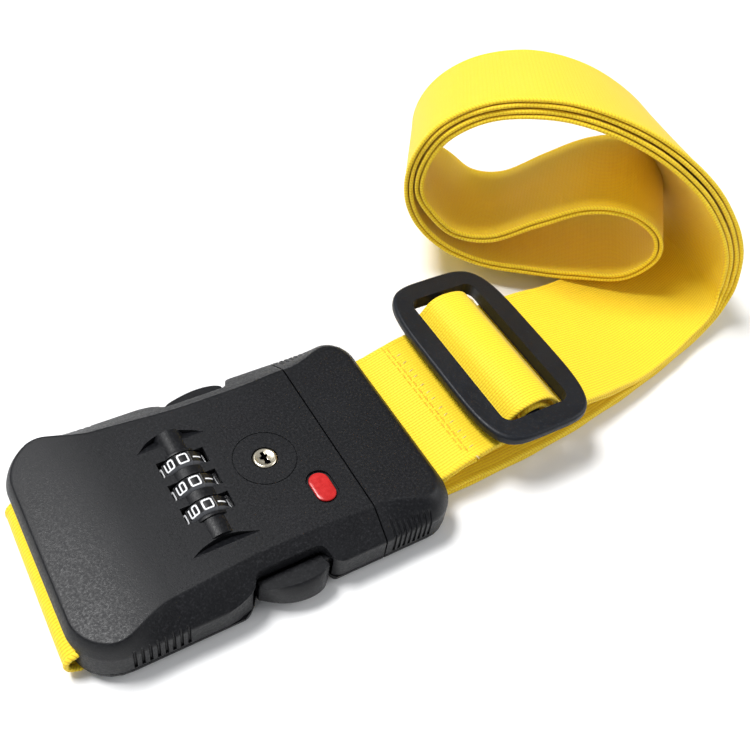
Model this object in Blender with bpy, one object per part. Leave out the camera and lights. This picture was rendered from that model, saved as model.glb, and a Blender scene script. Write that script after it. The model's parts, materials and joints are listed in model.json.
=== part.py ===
"""Luggage strap: a combination and key lock buckle, a three bar slider and one long webbing.

The buckle and the strap under it run along X, the free width is Y, and +Z is up.
The origin is on the underside of the webbing, below the middle of the buckle.
"""
import math

import bmesh
import bpy
from mathutils import Matrix, Vector

MM = 0.001

# Webbing: two plies lie face to face almost everywhere, so most solids hold a pair of plies.
WIDTH = 50.0
PLY = 1.4
PLY_GAP = 0.3
PAIR = 2 * PLY + PLY_GAP
PASS_PITCH = PAIR + 0.6

# Buckle
SEAM_X = 29.6
SEAM_GAP = 0.4
END_X = 54.2
HALF_WIDTH = 35.6
CORNER = 10.0
FLANGE_Z = 1.8
COVER_Z = 3.6
WALL_TOP_Z = 10.6
TOP_Z = 16.7
LEFT_CORNER = 13.5
LEFT_LOW_CORNER = 12.0
# The top dips towards the lock half's end: where the dip starts, and how deep it gets
DIP_X = -29.0
DIP = 2.6
DIP_FOOT_Z = 10.2
CEILING_Z = 14.7
SIDE_CEILING_Z = 12.8
# Height, end inset and waist of the shells' outer form
COVER_PROFILE = [
    (3.6, 0.3, 0.0), (4.1, 0.0, 0.0), (10.2, 0.0, 0.0), (11.4, 0.35, 0.45), (12.5, 0.75, 1.85),
    (13.5, 1.2, 3.0), (15.3, 2.7, 4.2), (16.1, 4.2, 3.85), (16.4, 5.9, 3.6), (16.7, 9.5, 3.5),
]
PLATE_Z = 3.4
PLATE_TOP_Z = 4.6
CHANNEL_Y = 25.5
PLATE_Y = 26.6

# Combination dials
DIAL_X = -10.3
DIAL_Z = 11.75
DIAL_RADIUS = 6.9
DIAL_WIDTH = 4.8
DIAL_PITCH = 8.15
SLOT_LENGTH = 13.6
SLOT_WIDTH = 5.3
SHAFT_RADIUS = 1.5

# Key lock
KEY_X = 10.3
PLUG_RADIUS = 3.4
FACE_RADIUS = 8.9

# Side release arms
ARM_INNER_Y = 30.4
ARM_OUTER_Y = 32.4
CHANNEL_INNER_Y = 25.0
CHANNEL_OUTER_Y = 33.9
NOTCH_Y = 30.0
ARM_ROOT_X = 38.0

# Screws
SCREW_XY = [(-45.5, 29.6), (-45.5, -29.6), (-17.0, 30.2), (-17.0, -30.2)]
CAP_SCREW_XY = [(46.0, 29.8), (46.0, -29.8)]

# Slider
SLIDER_X = 89.5
SLIDER_Y = 6.0
SLIDER_YAW = math.radians(-0.5)
SLIDER_LENGTH = 38.6
SLIDER_WIDTH = 67.2
SLIDER_Z = (16.0, 20.5)
WINDOW_LENGTH = 23.8
WINDOW_WIDTH = 55.0
BAR_HALF = 2.6
BAR_Z = (16.0, 17.6)

# The strap's coiled part stands on a tilted, near vertical plane: COIL_AZIMUTH is the way
# that the webbing's width points there, and COIL_OFFSET is the plane's distance.
COIL_AZIMUTH = math.radians(52.0)
COIL_OFFSET = 145.4
COIL_SHIFT_X = 54.0


def coil(across, z, azimuth, tilt):
    """A station of the webbing's near edge in the coil's plane."""
    side = Vector((math.sin(COIL_AZIMUTH), -math.cos(COIL_AZIMUTH)))
    away = Vector((math.cos(COIL_AZIMUTH), math.sin(COIL_AZIMUTH)))
    place = side * across + away * COIL_OFFSET
    return (place.x - COIL_SHIFT_X, place.y, z, azimuth, tilt)


# Stations: x, y, z of the near edge, then the direction and the tilt of the width in degrees.
OUTER_COIL = [
    coil(156, 14.2, 48, -8), coil(140, 10.9, 48, -8.5), coil(122, 9.4, 49, -8.5),
    coil(106, 9.6, 50, -9), coil(93, 13.6, 51, -9), coil(82.5, 22, 52, -10),
    coil(77, 34, 53, -11.5), coil(77.5, 48, 54, -12), coil(84, 61.5, 54, -12.5),
    coil(97, 71.5, 54, -12.5), coil(115, 76, 55, -12.5), coil(134, 74.8, 56, -13.5),
    coil(154, 68.3, 59.3, -15), coil(171.5, 57.5, 62.8, -17), coil(183.5, 45, 66, -19.5),
    coil(190.5, 33, 69, -19), coil(193.5, 21.5, 71.5, -15), (188.4, -4.8, 13.0, 74, -10),
]
LOWER_RUN = [
    (182.8, -7.0, 6.0, 77, -4.5), (171.5, -9.8, 2.5, 80, -0.9), (154, -13.9, 1.55, 83, 0),
    (130, -18.8, 1.55, 85, 0), (98, -23.3, 1.55, 87, 0), (56, -25, 1.55, 90, 0),
    (1.4, -25, 1.55, 90, 0),
]
UPPER_RUN = [
    (68, -24.2, 13.2, 90, 0), (80, -22.4, 12.3, 89, 0), (96, -21.3, 12.2, 87, 0),
    (111, -21.0, 12.0, 86, 0), (126, -19.6, 9.0, 84, 0), (141, -17.3, 6.2, 83, 0),
    (154, -14.4, 5.6, 82, -0.3),
]
SMALL_LOOP = [
    coil(87, 26, 49, -9), coil(96, 20, 48, -9), coil(108, 21, 47, -8.5), coil(122, 30.5, 47, -7),
    coil(136, 39, 47, -6.5), coil(150, 40.5, 48, -7), coil(161.5, 34, 48, -7.5), coil(164, 24, 48, -8),
]
SHARED_FIRST, SHARED_LAST = 6, 19
STEPS = 4


# ---------------------------------------------------------------- scene and material helpers

def collection(name):
    made = bpy.data.collections.new(name)
    bpy.context.scene.collection.children.link(made)
    return made


def clear_scene():
    for old in list(bpy.data.objects):
        bpy.data.objects.remove(old, do_unlink=True)


def material(name, color, roughness, metallic=0.0):
    made = bpy.data.materials.new(name)
    made.use_nodes = True
    shader = made.node_tree.nodes["Principled BSDF"]
    shader.inputs["Base Color"].default_value = (*color, 1.0)
    shader.inputs["Roughness"].default_value = roughness
    shader.inputs["Metallic"].default_value = metallic
    return made


def finish_mesh(name, bm, finish, group, placed=None, smooth_angle=35.0):
    """Turns a bmesh in millimetres into a named object in metres."""
    if placed is not None:
        bmesh.ops.transform(bm, matrix=placed, verts=bm.verts)
    bmesh.ops.scale(bm, vec=(MM, MM, MM), verts=bm.verts)
    bmesh.ops.recalc_face_normals(bm, faces=bm.faces)
    mesh = bpy.data.meshes.new(name)
    bm.to_mesh(mesh)
    bm.free()
    mesh.shade_smooth()
    mesh.set_sharp_from_angle(angle=math.radians(smooth_angle))
    made = bpy.data.objects.new(name, mesh)
    made.data.materials.append(finish)
    group.objects.link(made)
    return made


# ---------------------------------------------------------------- shape helpers, all in millimetres

def add_stack(bm, rings, strips=False):
    """Closed solid through rings of equal length, from the lowest ring to the highest.

    With strips, the top is closed crosswise between mirrored points, so that it may be curved."""
    rows = [[bm.verts.new(point) for point in ring] for ring in rings]
    count = len(rows[0])
    for lower, upper in zip(rows, rows[1:]):
        for i in range(count):
            j = (i + 1) % count
            bm.faces.new((lower[i], lower[j], upper[j], upper[i]))
    bm.faces.new(list(reversed(rows[0])))
    top = rows[-1]
    if not strips:
        bm.faces.new(top)
        return
    for i in range(count // 2 - 1):
        bm.faces.new((top[i], top[i + 1], top[count - 2 - i], top[count - 1 - i]))


def add_box(bm, low, high, chamfer=0.0):
    size = Vector(high) - Vector(low)
    middle = (Vector(high) + Vector(low)) / 2
    placed = Matrix.Translation(middle) @ Matrix.Diagonal((*size, 1.0))
    made = bmesh.ops.create_cube(bm, size=1.0, matrix=placed)
    if chamfer:
        edges = list({edge for vert in made["verts"] for edge in vert.link_edges})
        bmesh.ops.bevel(bm, geom=edges, offset=chamfer, segments=2, affect="EDGES", profile=0.5)


def add_cylinder(bm, radius, start, end, sides=32, top_radius=None):
    """Cylinder or cone from the point start to the point end."""
    start, end = Vector(start), Vector(end)
    turn = (end - start).to_track_quat("Z", "Y").to_matrix().to_4x4()
    placed = Matrix.Translation((start + end) / 2) @ turn
    bmesh.ops.create_cone(bm, cap_ends=True, segments=sides, radius1=radius,
                          radius2=radius if top_radius is None else top_radius,
                          depth=(end - start).length, matrix=placed)


def arc(center, radius, start_deg, end_deg, steps):
    points = []
    for i in range(steps + 1):
        angle = math.radians(start_deg + (end_deg - start_deg) * i / steps)
        points.append((center[0] + radius * math.cos(angle), center[1] + radius * math.sin(angle)))
    return points


def rounded_rectangle(half_x, half_y, radius, steps=6):
    points = []
    for sx, sy, start in ((1, 1, 0), (-1, 1, 90), (-1, -1, 180), (1, -1, 270)):
        center = (sx * (half_x - radius), sy * (half_y - radius))
        points += arc(center, radius, start, start + 90, steps)
    return points


def at_height(points, z):
    return [(x, y, z) for x, y in points]


def add_prism(bm, points, low, high):
    add_stack(bm, [at_height(points, low), at_height(points, high)])


# ---------------------------------------------------------------- booleans

def cut(target, cutter_name, build, cutters, operation="DIFFERENCE", placed=None):
    """Adds an exact Boolean whose second solid is made by the function build."""
    bm = bmesh.new()
    build(bm)
    if placed is not None:
        bmesh.ops.transform(bm, matrix=placed, verts=bm.verts)
    bmesh.ops.scale(bm, vec=(MM, MM, MM), verts=bm.verts)
    bmesh.ops.recalc_face_normals(bm, faces=bm.faces)
    mesh = bpy.data.meshes.new(cutter_name)
    bm.to_mesh(mesh)
    bm.free()
    tool = bpy.data.objects.new(cutter_name, mesh)
    cutters.objects.link(tool)
    tool.hide_render = True
    tool.display_type = "WIRE"
    change = target.modifiers.new(cutter_name, "BOOLEAN")
    change.operation = operation
    change.solver = "EXACT"
    change.use_self = True
    change.object = tool


# ---------------------------------------------------------------- buckle shells

def rise(low, high, value):
    """Smooth step from 0 to 1."""
    share = min(1.0, max(0.0, (value - low) / (high - low)))
    return share * share * (3 - 2 * share)


def waist_share(x):
    """How much of the waist shows at x: none at the rounded ends, all of it beside the dials."""
    left = 0.7 * rise(-46, -28, x) + 0.3 * rise(-34, 0, x)
    right = 0.12 * rise(14, 31, x) + 0.88 * rise(31, 50, x)
    return left - right


def half_outline(seam_x, end_x, inset, waist=0.0, radius=CORNER):
    """Plan outline of one buckle half: square at the seam, rounded at its outer end."""
    way = 1 if end_x > seam_x else -1
    half = HALF_WIDTH - inset
    corner_x = end_x - way * (inset + radius)
    far = [(seam_x + (corner_x - seam_x) * i / 10, half) for i in range(11)]
    far += [(corner_x + way * x, half - radius + y) for x, y in arc((0, 0), radius, 90, 0, 7)[1:]]
    far = [(x, y * (1 - waist * waist_share(x) / half)) for x, y in far]
    near = [(x, -y) for x, y in reversed(far)]
    return far + near


def dip(x, z):
    """How far the shell's top has sunk at x, at the profile height z."""
    along = max(0.0, (DIP_X - x) / (END_X + DIP_X))
    upper = max(0.0, (z - DIP_FOOT_Z) / (TOP_Z - DIP_FOOT_Z))
    return DIP * along ** 2 * upper


def cover_solid(bm, seam_x, end_x):
    """Outer form: upright walls, a long chamfer that widens towards the seam, a flat top."""
    rings = []
    for z, inset, waist in COVER_PROFILE:
        radius = CORNER - 0.4 * inset
        if end_x < seam_x:
            if z > DIP_FOOT_Z:
                # the lock half's end is rounded more tightly than its sides
                waist += 0.58 * inset
                inset *= 0.42
            radius = LEFT_LOW_CORNER + (LEFT_CORNER - LEFT_LOW_CORNER) * rise(4, 11, z) - 0.5 * inset
        ring = at_height(half_outline(seam_x, end_x, inset, waist, radius), z)
        rings.append([(x, y, z - dip(x, z)) for x, y, z in ring])
    add_stack(bm, rings, strips=True)


def side_grooves(bm, first_x, pitch, count, low_z, high_z):
    """Finger grooves in both long sides."""
    for side in (1, -1):
        for i in range(count):
            x = first_x + i * pitch
            low = (x - 0.35, side * (HALF_WIDTH - 0.7), low_z)
            high = (x + 0.35, side * (HALF_WIDTH + 1.5), high_z)
            add_box(bm, [min(a, b) for a, b in zip(low, high)], [max(a, b) for a, b in zip(low, high)])


def notch_points(side):
    """Plan of the recess round one release button, with rounded flanks."""
    outside = HALF_WIDTH + 4
    points = [(-14.0, outside), (-12.3, HALF_WIDTH), (-9.9, 34.2)]
    points += arc((-5.1, NOTCH_Y + 2.8), 2.8, 195, 270, 4)
    points += arc((10.4, NOTCH_Y + 2.8), 2.8, 270, 345, 4)
    points += [(14.0, 34.4), (15.4, HALF_WIDTH + 0.4), (17.0, outside)]
    return [(x, side * y) for x, y in points]


def add_ramp_pocket(bm, chord_y, arc_points, depth):
    """Lens shaped pocket: deepest at its curved wall, its floor rising to the straight edge."""
    plan = [(x, y) for x, y in arc_points]
    reach = max(abs(y - chord_y) for x, y in plan)
    low = [(x, y, TOP_Z + 0.02 - depth * abs(y - chord_y) / reach) for x, y in plan]
    add_stack(bm, [low, at_height(plan, TOP_Z + 3)])


def make_lock_cover(group, cutters, finish):
    bm = bmesh.new()
    cover_solid(bm, SEAM_X - SEAM_GAP / 2, -END_X)
    cover = finish_mesh("lock_cover", bm, finish, group)

    def ridges(tool):
        add_cylinder(tool, 6.3, (DIAL_X, -11.7, DIAL_Z), (DIAL_X, 11.7, DIAL_Z), 40)
        add_cylinder(tool, 3.6, (DIAL_X, -17.2, 13.9), (DIAL_X, -11.8, 13.9), 32)
        add_cylinder(tool, 3.6, (DIAL_X, 11.8, 13.9), (DIAL_X, 19.2, 13.9), 32)

    def scoops(tool):
        far = [(-22.6, 15.3), (-20.2, 15.9), (-16.6, 18.6), (-12.1, 19.9), (-8, 19.3), (-4.2, 17.7), (-0.4, 15.3)]
        near = [(-20.6, -20.9), (-19.2, -20.3), (-16.4, -18.9), (-11.2, -17.8), (-7.1, -18.2), (-3.6, -19.5),
                (-0.3, -20.9)]
        add_ramp_pocket(tool, 15.3, far, 1.9)
        add_ramp_pocket(tool, -20.9, near, 1.7)

    def cavity(tool):
        add_box(tool, (-41.0, -25.6, COVER_Z - 1), (27.2, 25.6, SIDE_CEILING_Z))
        add_box(tool, (-41.0, -13.2, SIDE_CEILING_Z - 1), (27.2, 13.2, CEILING_Z))
        for side in (1, -1):
            low, high = sorted((side * 12.6, side * 17.4))
            add_box(tool, (DIAL_X - 3.2, low, SIDE_CEILING_Z - 1), (DIAL_X + 3.2, high, 14.3))

    def ledge(tool):
        add_box(tool, (-41.0, -PLATE_Y - 0.3, COVER_Z - 1), (27.2, PLATE_Y + 0.3, PLATE_TOP_Z + 0.3))

    def arm_channels(tool):
        for side in (1, -1):
            low, high = sorted((side * CHANNEL_INNER_Y, side * CHANNEL_OUTER_Y))
            add_box(tool, (-9.0, low, COVER_Z - 1), (SEAM_X + 1, high, WALL_TOP_Z + 0.2))

    def notches(tool):
        for side in (1, -1):
            add_prism(tool, notch_points(side), COVER_Z - 1, TOP_Z + 1)

    def windows(tool):
        for i in (-1, 0, 1):
            middle = i * DIAL_PITCH
            add_box(tool, (DIAL_X - SLOT_LENGTH / 2, middle - SLOT_WIDTH / 2, CEILING_Z - 6),
                    (DIAL_X + SLOT_LENGTH / 2, middle + SLOT_WIDTH / 2, TOP_Z + 4))

    def openings(tool):
        add_box(tool, (20.0, -20.0, 6.2), (SEAM_X + 1, 20.0, 10.2))
        add_box(tool, (-END_X - 1, -CHANNEL_Y - 1.9, COVER_Z - 1), (-44.4, CHANNEL_Y + 1.9, 9.6))
        add_cylinder(tool, PLUG_RADIUS + 0.3, (KEY_X, 0, CEILING_Z - 2), (KEY_X, 0, TOP_Z + 1), 40)

    def screw_holes(tool):
        for x, y in SCREW_XY:
            add_cylinder(tool, 1.5, (x, y, COVER_Z - 1), (x, y, 11.5), 16)
        add_cylinder(tool, 1.6, (-30.0, -29.5, COVER_Z - 1), (-30.0, -29.5, 10.5), 16)

    def emblem_recess(tool):
        points = [(x + 20.1, y - 15.4) for x, y in rounded_rectangle(3.7, 5.6, 3.6, 6)]
        add_prism(tool, points, TOP_Z - 0.8, TOP_Z + 1)

    def face_groove(tool):
        rings = []
        for radius, z in ((FACE_RADIUS - 0.2, TOP_Z - 0.3), (FACE_RADIUS + 0.2, TOP_Z - 0.3),
                          (FACE_RADIUS + 0.2, TOP_Z + 0.3), (FACE_RADIUS - 0.2, TOP_Z + 0.3)):
            rings.append([tool.verts.new((KEY_X + radius * math.cos(t), radius * math.sin(t), z))
                          for t in [2 * math.pi * i / 56 for i in range(56)]])
        for a, b in zip(rings, rings[1:] + rings[:1]):
            for i in range(56):
                j = (i + 1) % 56
                tool.faces.new((a[i], a[j], b[j], b[i]))

    cut(cover, "cover_scoops", scoops, cutters)
    cut(cover, "cover_ridges", ridges, cutters, "UNION")
    cut(cover, "cover_cavity", cavity, cutters)
    cut(cover, "cover_ledge", ledge, cutters)
    cut(cover, "cover_arm_channels", arm_channels, cutters)
    cut(cover, "cover_notches", notches, cutters)
    cut(cover, "cover_windows", windows, cutters)
    cut(cover, "cover_openings", openings, cutters)
    cut(cover, "cover_screw_holes", screw_holes, cutters)
    cut(cover, "cover_emblem_recess", emblem_recess, cutters)
    cut(cover, "cover_face_groove", face_groove, cutters)
    cut(cover, "cover_grooves", lambda tool: side_grooves(tool, -41.6, 1.93, 8, 3.0, 12.0), cutters)
    return cover


def base_flange(bm, seam_x, end_x):
    corner = CORNER if end_x > seam_x else LEFT_LOW_CORNER
    add_stack(bm, [
        at_height(half_outline(seam_x, end_x, 0.8, radius=corner - 0.8), FLANGE_Z),
        at_height(half_outline(seam_x, end_x, 0.2, radius=corner - 0.2), FLANGE_Z + 0.6),
        at_height(half_outline(seam_x, end_x, 0.2, radius=corner - 0.2), COVER_Z - 0.3),
    ])


def screw_seats(bm, places):
    """Clearance hole and head seat under each screw."""
    for x, y in places:
        add_cylinder(bm, 1.5, (x, y, 0.0), (x, y, PLATE_TOP_Z + 1), 16)
        add_cylinder(bm, 2.6, (x, y, 0.0), (x, y, FLANGE_Z + 0.9), 20)


def make_lock_base(group, cutters, finish):
    bm = bmesh.new()
    base_flange(bm, SEAM_X - SEAM_GAP / 2, -END_X)
    base = finish_mesh("lock_base", bm, finish, group)

    def inner_plate(tool):
        add_box(tool, (-40.7, -PLATE_Y, COVER_Z - 0.6), (26.9, PLATE_Y, PLATE_TOP_Z))

    def strap_channel(tool):
        add_box(tool, (-END_X - 2, -CHANNEL_Y, 0), (SEAM_X + 1, CHANNEL_Y, PLATE_Z))

    def strap_slot(tool):
        add_box(tool, (-END_X - 2, -CHANNEL_Y, 0), (-41.2, CHANNEL_Y, PLATE_TOP_Z + 2))

    def strap_bar(tool):
        add_box(tool, (-53.8, -CHANNEL_Y - 1.6, 4.2), (-50.2, CHANNEL_Y + 1.6, 6.8), 1.0)
        for side in (1, -1):
            low, high = sorted((side * (CHANNEL_Y + 0.1), side * (CHANNEL_Y + 1.6)))
            add_box(tool, (-53.2, low, 2.4), (-50.8, high, 5.5))

    def posts(tool):
        for side in (1, -1):
            low, high = sorted((side * 13.6, side * 16.2))
            add_box(tool, (DIAL_X - 2.6, low, PLATE_TOP_Z - 0.6), (DIAL_X + 2.6, high, 13.9))

    def post_bores(tool):
        add_cylinder(tool, SHAFT_RADIUS + 0.1, (DIAL_X, -20, DIAL_Z), (DIAL_X, 20, DIAL_Z), 24)

    def notches(tool):
        for side in (1, -1):
            add_prism(tool, notch_points(side), 0, COVER_Z + 1)

    def pin_hole(tool):
        add_cylinder(tool, 1.35, (-30.0, -29.5, 0.0), (-30.0, -29.5, PLATE_TOP_Z), 20)

    cut(base, "base_plate", inner_plate, cutters, "UNION")
    cut(base, "base_strap_channel", strap_channel, cutters)
    cut(base, "base_strap_slot", strap_slot, cutters)
    cut(base, "base_strap_bar", strap_bar, cutters, "UNION")
    cut(base, "base_posts", posts, cutters, "UNION")
    cut(base, "base_post_bores", post_bores, cutters)
    cut(base, "base_notches", notches, cutters)
    cut(base, "base_screw_seats", lambda tool: screw_seats(tool, SCREW_XY), cutters)
    cut(base, "base_pin_hole", pin_hole, cutters)
    return base


def make_end_cap(group, cutters, finish):
    bm = bmesh.new()
    cover_solid(bm, SEAM_X + SEAM_GAP / 2, END_X)
    cap = finish_mesh("end_cap_cover", bm, finish, group)

    def cavities(tool):
        add_box(tool, (SEAM_X - 1, -PLATE_Y - 0.3, COVER_Z - 1), (END_X + 1, PLATE_Y + 0.3, 12.2))
        for side in (1, -1):
            low, high = sorted((side * (PLATE_Y - 1), side * CHANNEL_OUTER_Y))
            add_box(tool, (SEAM_X - 1, low, COVER_Z - 1), (41.4, high, WALL_TOP_Z + 0.2))

    def screw_holes(tool):
        for x, y in CAP_SCREW_XY:
            add_cylinder(tool, 1.5, (x, y, COVER_Z - 1), (x, y, 11.5), 16)

    cut(cap, "cap_cavities", cavities, cutters)
    cut(cap, "cap_screw_holes", screw_holes, cutters)
    cut(cap, "cap_grooves", lambda tool: side_grooves(tool, 32.6, 1.62, 8, 3.0, 13.4), cutters)

    bm = bmesh.new()
    base_flange(bm, SEAM_X + SEAM_GAP / 2, END_X)
    base = finish_mesh("end_cap_base", bm, finish, group)

    def strap_channel(tool):
        add_box(tool, (SEAM_X - 2, -CHANNEL_Y, 0), (END_X + 2, CHANNEL_Y, PLATE_Z))

    def inner_block(tool):
        add_box(tool, (SEAM_X + 0.6, -25.9, COVER_Z - 0.5), (41.0, 25.9, 9.4))

    def tongue(tool):
        add_box(tool, (16.8, -19.2, 7.0), (SEAM_X + 2, 19.2, 9.4), 0.6)

    def strap_bar(tool):
        add_box(tool, (44.6, -26.1, 7.3), (48.2, 26.1, 9.7), 0.9)
        for side in (1, -1):
            low, high = sorted((side * 25.3, side * 26.1))
            add_box(tool, (40.0, low, COVER_Z - 0.4), (49.0, high, 9.3))

    def plate(tool):
        add_box(tool, (SEAM_X + 0.6, -PLATE_Y, COVER_Z - 0.6), (49.0, PLATE_Y, PLATE_TOP_Z))

    def tongue_pocket(tool):
        add_box(tool, (16.0, -4.5, 6.5), (21.0, 4.5, 10.0))

    cut(base, "cap_base_plate", plate, cutters, "UNION")
    cut(base, "cap_base_channel", strap_channel, cutters)
    cut(base, "cap_base_block", inner_block, cutters, "UNION")
    cut(base, "cap_base_tongue", tongue, cutters, "UNION")
    cut(base, "cap_base_pocket", tongue_pocket, cutters)
    cut(base, "cap_base_bar", strap_bar, cutters, "UNION")
    cut(base, "cap_base_screw_seats", lambda tool: screw_seats(tool, CAP_SCREW_XY), cutters)


def button_outline(side, bulge):
    """Plan of one release arm's D shaped button: bulge is how far its curve stands out."""
    points = [(-7.0, ARM_INNER_Y), (-7.0, 32.3), (-4.6, 34.0)]
    points += [(x, 34.0 + bulge * y) for x, y in ((-1.2, 0.6), (2.9, 0.95), (6.9, 1.0), (10.2, 0.75))]
    points += [(12.8, 34.4), (12.4, 32.6), (12.2, ARM_INNER_Y)]
    return [(x, side * y) for x, y in points]


def make_release_arm(name, side, group, cutters, finish):
    """Spring arm of the end cap with the button that shows in the lock half's side notch.

    The arm's origin is on its root, which it bends about.
    """
    bm = bmesh.new()
    low, high = sorted((side * ARM_INNER_Y, side * ARM_OUTER_Y))
    add_box(bm, (8.0, low, 5.0), (ARM_ROOT_X, high, 9.8))
    arm = finish_mesh(name, bm, finish, group)

    def head(tool):
        add_stack(tool, [at_height(button_outline(side, 3.7), 3.7), at_height(button_outline(side, 3.4), 7.0),
                         at_height(button_outline(side, 2.0), 10.2)])

    def root(tool):
        low_y, high_y = sorted((side * 27.2, side * 33.3))
        add_box(tool, (ARM_ROOT_X - 2.5, low_y, PLATE_TOP_Z + 0.4), (ARM_ROOT_X + 2.8, high_y, 10.2), 0.5)

    cut(arm, name + "_button", head, cutters, "UNION")
    cut(arm, name + "_root", root, cutters, "UNION")
    return arm


# ---------------------------------------------------------------- lock works

def make_ring(name, profile, y, group, finish, sides=40):
    """Turned ring about the dial axle: the profile is (offset along Y, radius), closed."""
    bm = bmesh.new()
    rows = []
    for offset, radius in profile:
        row = []
        for i in range(sides):
            angle = 2 * math.pi * i / sides
            row.append(bm.verts.new((DIAL_X + radius * math.cos(angle), y + offset,
                                     DIAL_Z + radius * math.sin(angle))))
        rows.append(row)
    for a, b in zip(rows, rows[1:] + rows[:1]):
        for i in range(sides):
            j = (i + 1) % sides
            bm.faces.new((a[i], a[j], b[j], b[i]))
    return finish_mesh(name, bm, finish, group)


def make_dials(group, cutters, black, brass, steel):
    half = DIAL_WIDTH / 2
    wheel = [(-half, 3.0), (-half, DIAL_RADIUS - 0.5), (-half + 0.4, DIAL_RADIUS),
             (half - 0.4, DIAL_RADIUS), (half, DIAL_RADIUS - 0.5), (half, 3.0)]
    sleeve = [(-3.2, SHAFT_RADIUS + 0.1), (-3.2, 2.7), (3.2, 2.7), (3.2, SHAFT_RADIUS + 0.1)]
    for i in (1, 2, 3):
        y = (2 - i) * DIAL_PITCH
        make_ring("dial_%d" % i, wheel, y, group, black)
        make_ring("dial_sleeve_%d" % i, sleeve, y, group, brass, 24)
    bm = bmesh.new()
    add_cylinder(bm, SHAFT_RADIUS, (DIAL_X, -17.0, DIAL_Z), (DIAL_X, 17.0, DIAL_Z), 24)
    finish_mesh("dial_shaft", bm, steel, group)

    bm = bmesh.new()
    add_box(bm, (-19.4, -11.5, PLATE_TOP_Z + 0.3), (-18.9, 11.5, 13.6))
    spring = finish_mesh("detent_spring", bm, steel, group)

    def finger_gaps(tool):
        for y in (-DIAL_PITCH / 2, DIAL_PITCH / 2):
            add_box(tool, (-21.0, y - 0.8, 7.5), (-17.0, y + 0.8, 15.0))

    cut(spring, "detent_finger_gaps", finger_gaps, cutters)


def make_key_lock(group, cutters, nickel, brass, steel):
    bm = bmesh.new()
    add_cylinder(bm, PLUG_RADIUS, (KEY_X, 0, 8.4), (KEY_X, 0, 16.9), 40)
    plug = finish_mesh("key_plug", bm, nickel, group)

    def keyway(tool):
        add_box(tool, (KEY_X - 0.55, -2.3, 11.5), (KEY_X + 0.55, 2.3, 18.0))
        add_box(tool, (KEY_X - 1.5, -1.0, 12.5), (KEY_X - 0.3, -0.1, 18.0))
        add_box(tool, (KEY_X + 0.3, -2.0, 12.5), (KEY_X + 1.3, -1.1, 18.0))

    def dish(tool):
        add_cylinder(tool, 2.2, (KEY_X, 0, 16.55), (KEY_X, 0, 17.3), 40, 2.9)

    cut(plug, "plug_dish", dish, cutters)
    cut(plug, "plug_keyway", keyway, cutters)

    bm = bmesh.new()
    add_cylinder(bm, 4.9, (KEY_X, 0, 8.6), (KEY_X, 0, CEILING_Z - 0.3), 32)
    housing = finish_mesh("key_housing", bm, brass, group)
    cut(housing, "housing_bore",
        lambda tool: add_cylinder(tool, PLUG_RADIUS + 0.1, (KEY_X, 0, 6), (KEY_X, 0, 18), 40), cutters)

    bm = bmesh.new()
    add_cylinder(bm, 2.6, (KEY_X, 0, 7.0), (KEY_X, 0, 8.1), 28)
    cam = finish_mesh("key_cam", bm, steel, group)
    cut(cam, "cam_finger",
        lambda tool: add_box(tool, (KEY_X - 0.9, 0.0, 7.05), (KEY_X + 0.9, 5.6, 8.05)), cutters, "UNION")

    bm = bmesh.new()
    add_box(bm, (-2.4, -12.0, PLATE_TOP_Z + 0.3), (15.6, 12.0, 6.6), 0.3)
    bolt = finish_mesh("lock_bolt", bm, steel, group)

    def bolt_window(tool):
        add_box(tool, (0.4, -9.0, 0), (4.0, 9.0, 8.0))

    def spring_ear(tool):
        add_box(tool, (6.0, -17.4, PLATE_TOP_Z + 0.5), (8.4, -11.0, 6.4))
        add_box(tool, (6.0, -17.4, 6.0), (7.0, -13.6, 9.4))

    cut(bolt, "bolt_window", bolt_window, cutters)
    cut(bolt, "bolt_spring_ear", spring_ear, cutters, "UNION")


def make_bolt_spring(group, finish):
    """Compression spring between the bolt's ear and the case."""
    turns, per_turn, radius, start_x, end_x = 5, 9, 1.5, 8.0, 16.5
    curve = bpy.data.curves.new("bolt_spring", "CURVE")
    curve.dimensions = "3D"
    curve.bevel_depth = 0.3 * MM
    curve.bevel_resolution = 1
    curve.use_fill_caps = True
    path = curve.splines.new("POLY")
    count = turns * per_turn
    path.points.add(count)
    for i in range(count + 1):
        angle = 2 * math.pi * i / per_turn
        x = start_x + (end_x - start_x) * i / count
        place = (x, -15.5 + radius * math.cos(angle), 8.0 + radius * math.sin(angle))
        path.points[i].co = (*(c * MM for c in place), 1.0)
    made = bpy.data.objects.new("bolt_spring", curve)
    curve.materials.append(finish)
    group.objects.link(made)


def make_emblem(group, finish):
    bm = bmesh.new()
    outer = [(x + 20.1, y - 15.4) for x, y in rounded_rectangle(2.9, 4.8, 2.8, 6)]
    inner = [(x + 20.1, y - 15.4) for x, y in rounded_rectangle(2.5, 4.4, 2.4, 6)]
    add_stack(bm, [at_height(outer, TOP_Z - 0.5), at_height(outer, TOP_Z - 0.1), at_height(inner, TOP_Z + 0.1)])
    finish_mesh("emblem_inlay", bm, finish, group)


def make_reset_pin(group, finish):
    bm = bmesh.new()
    add_cylinder(bm, 1.15, (-30.0, -29.5, FLANGE_Z + 0.1), (-30.0, -29.5, 9.2), 20)
    finish_mesh("reset_pin", bm, finish, group)


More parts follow.
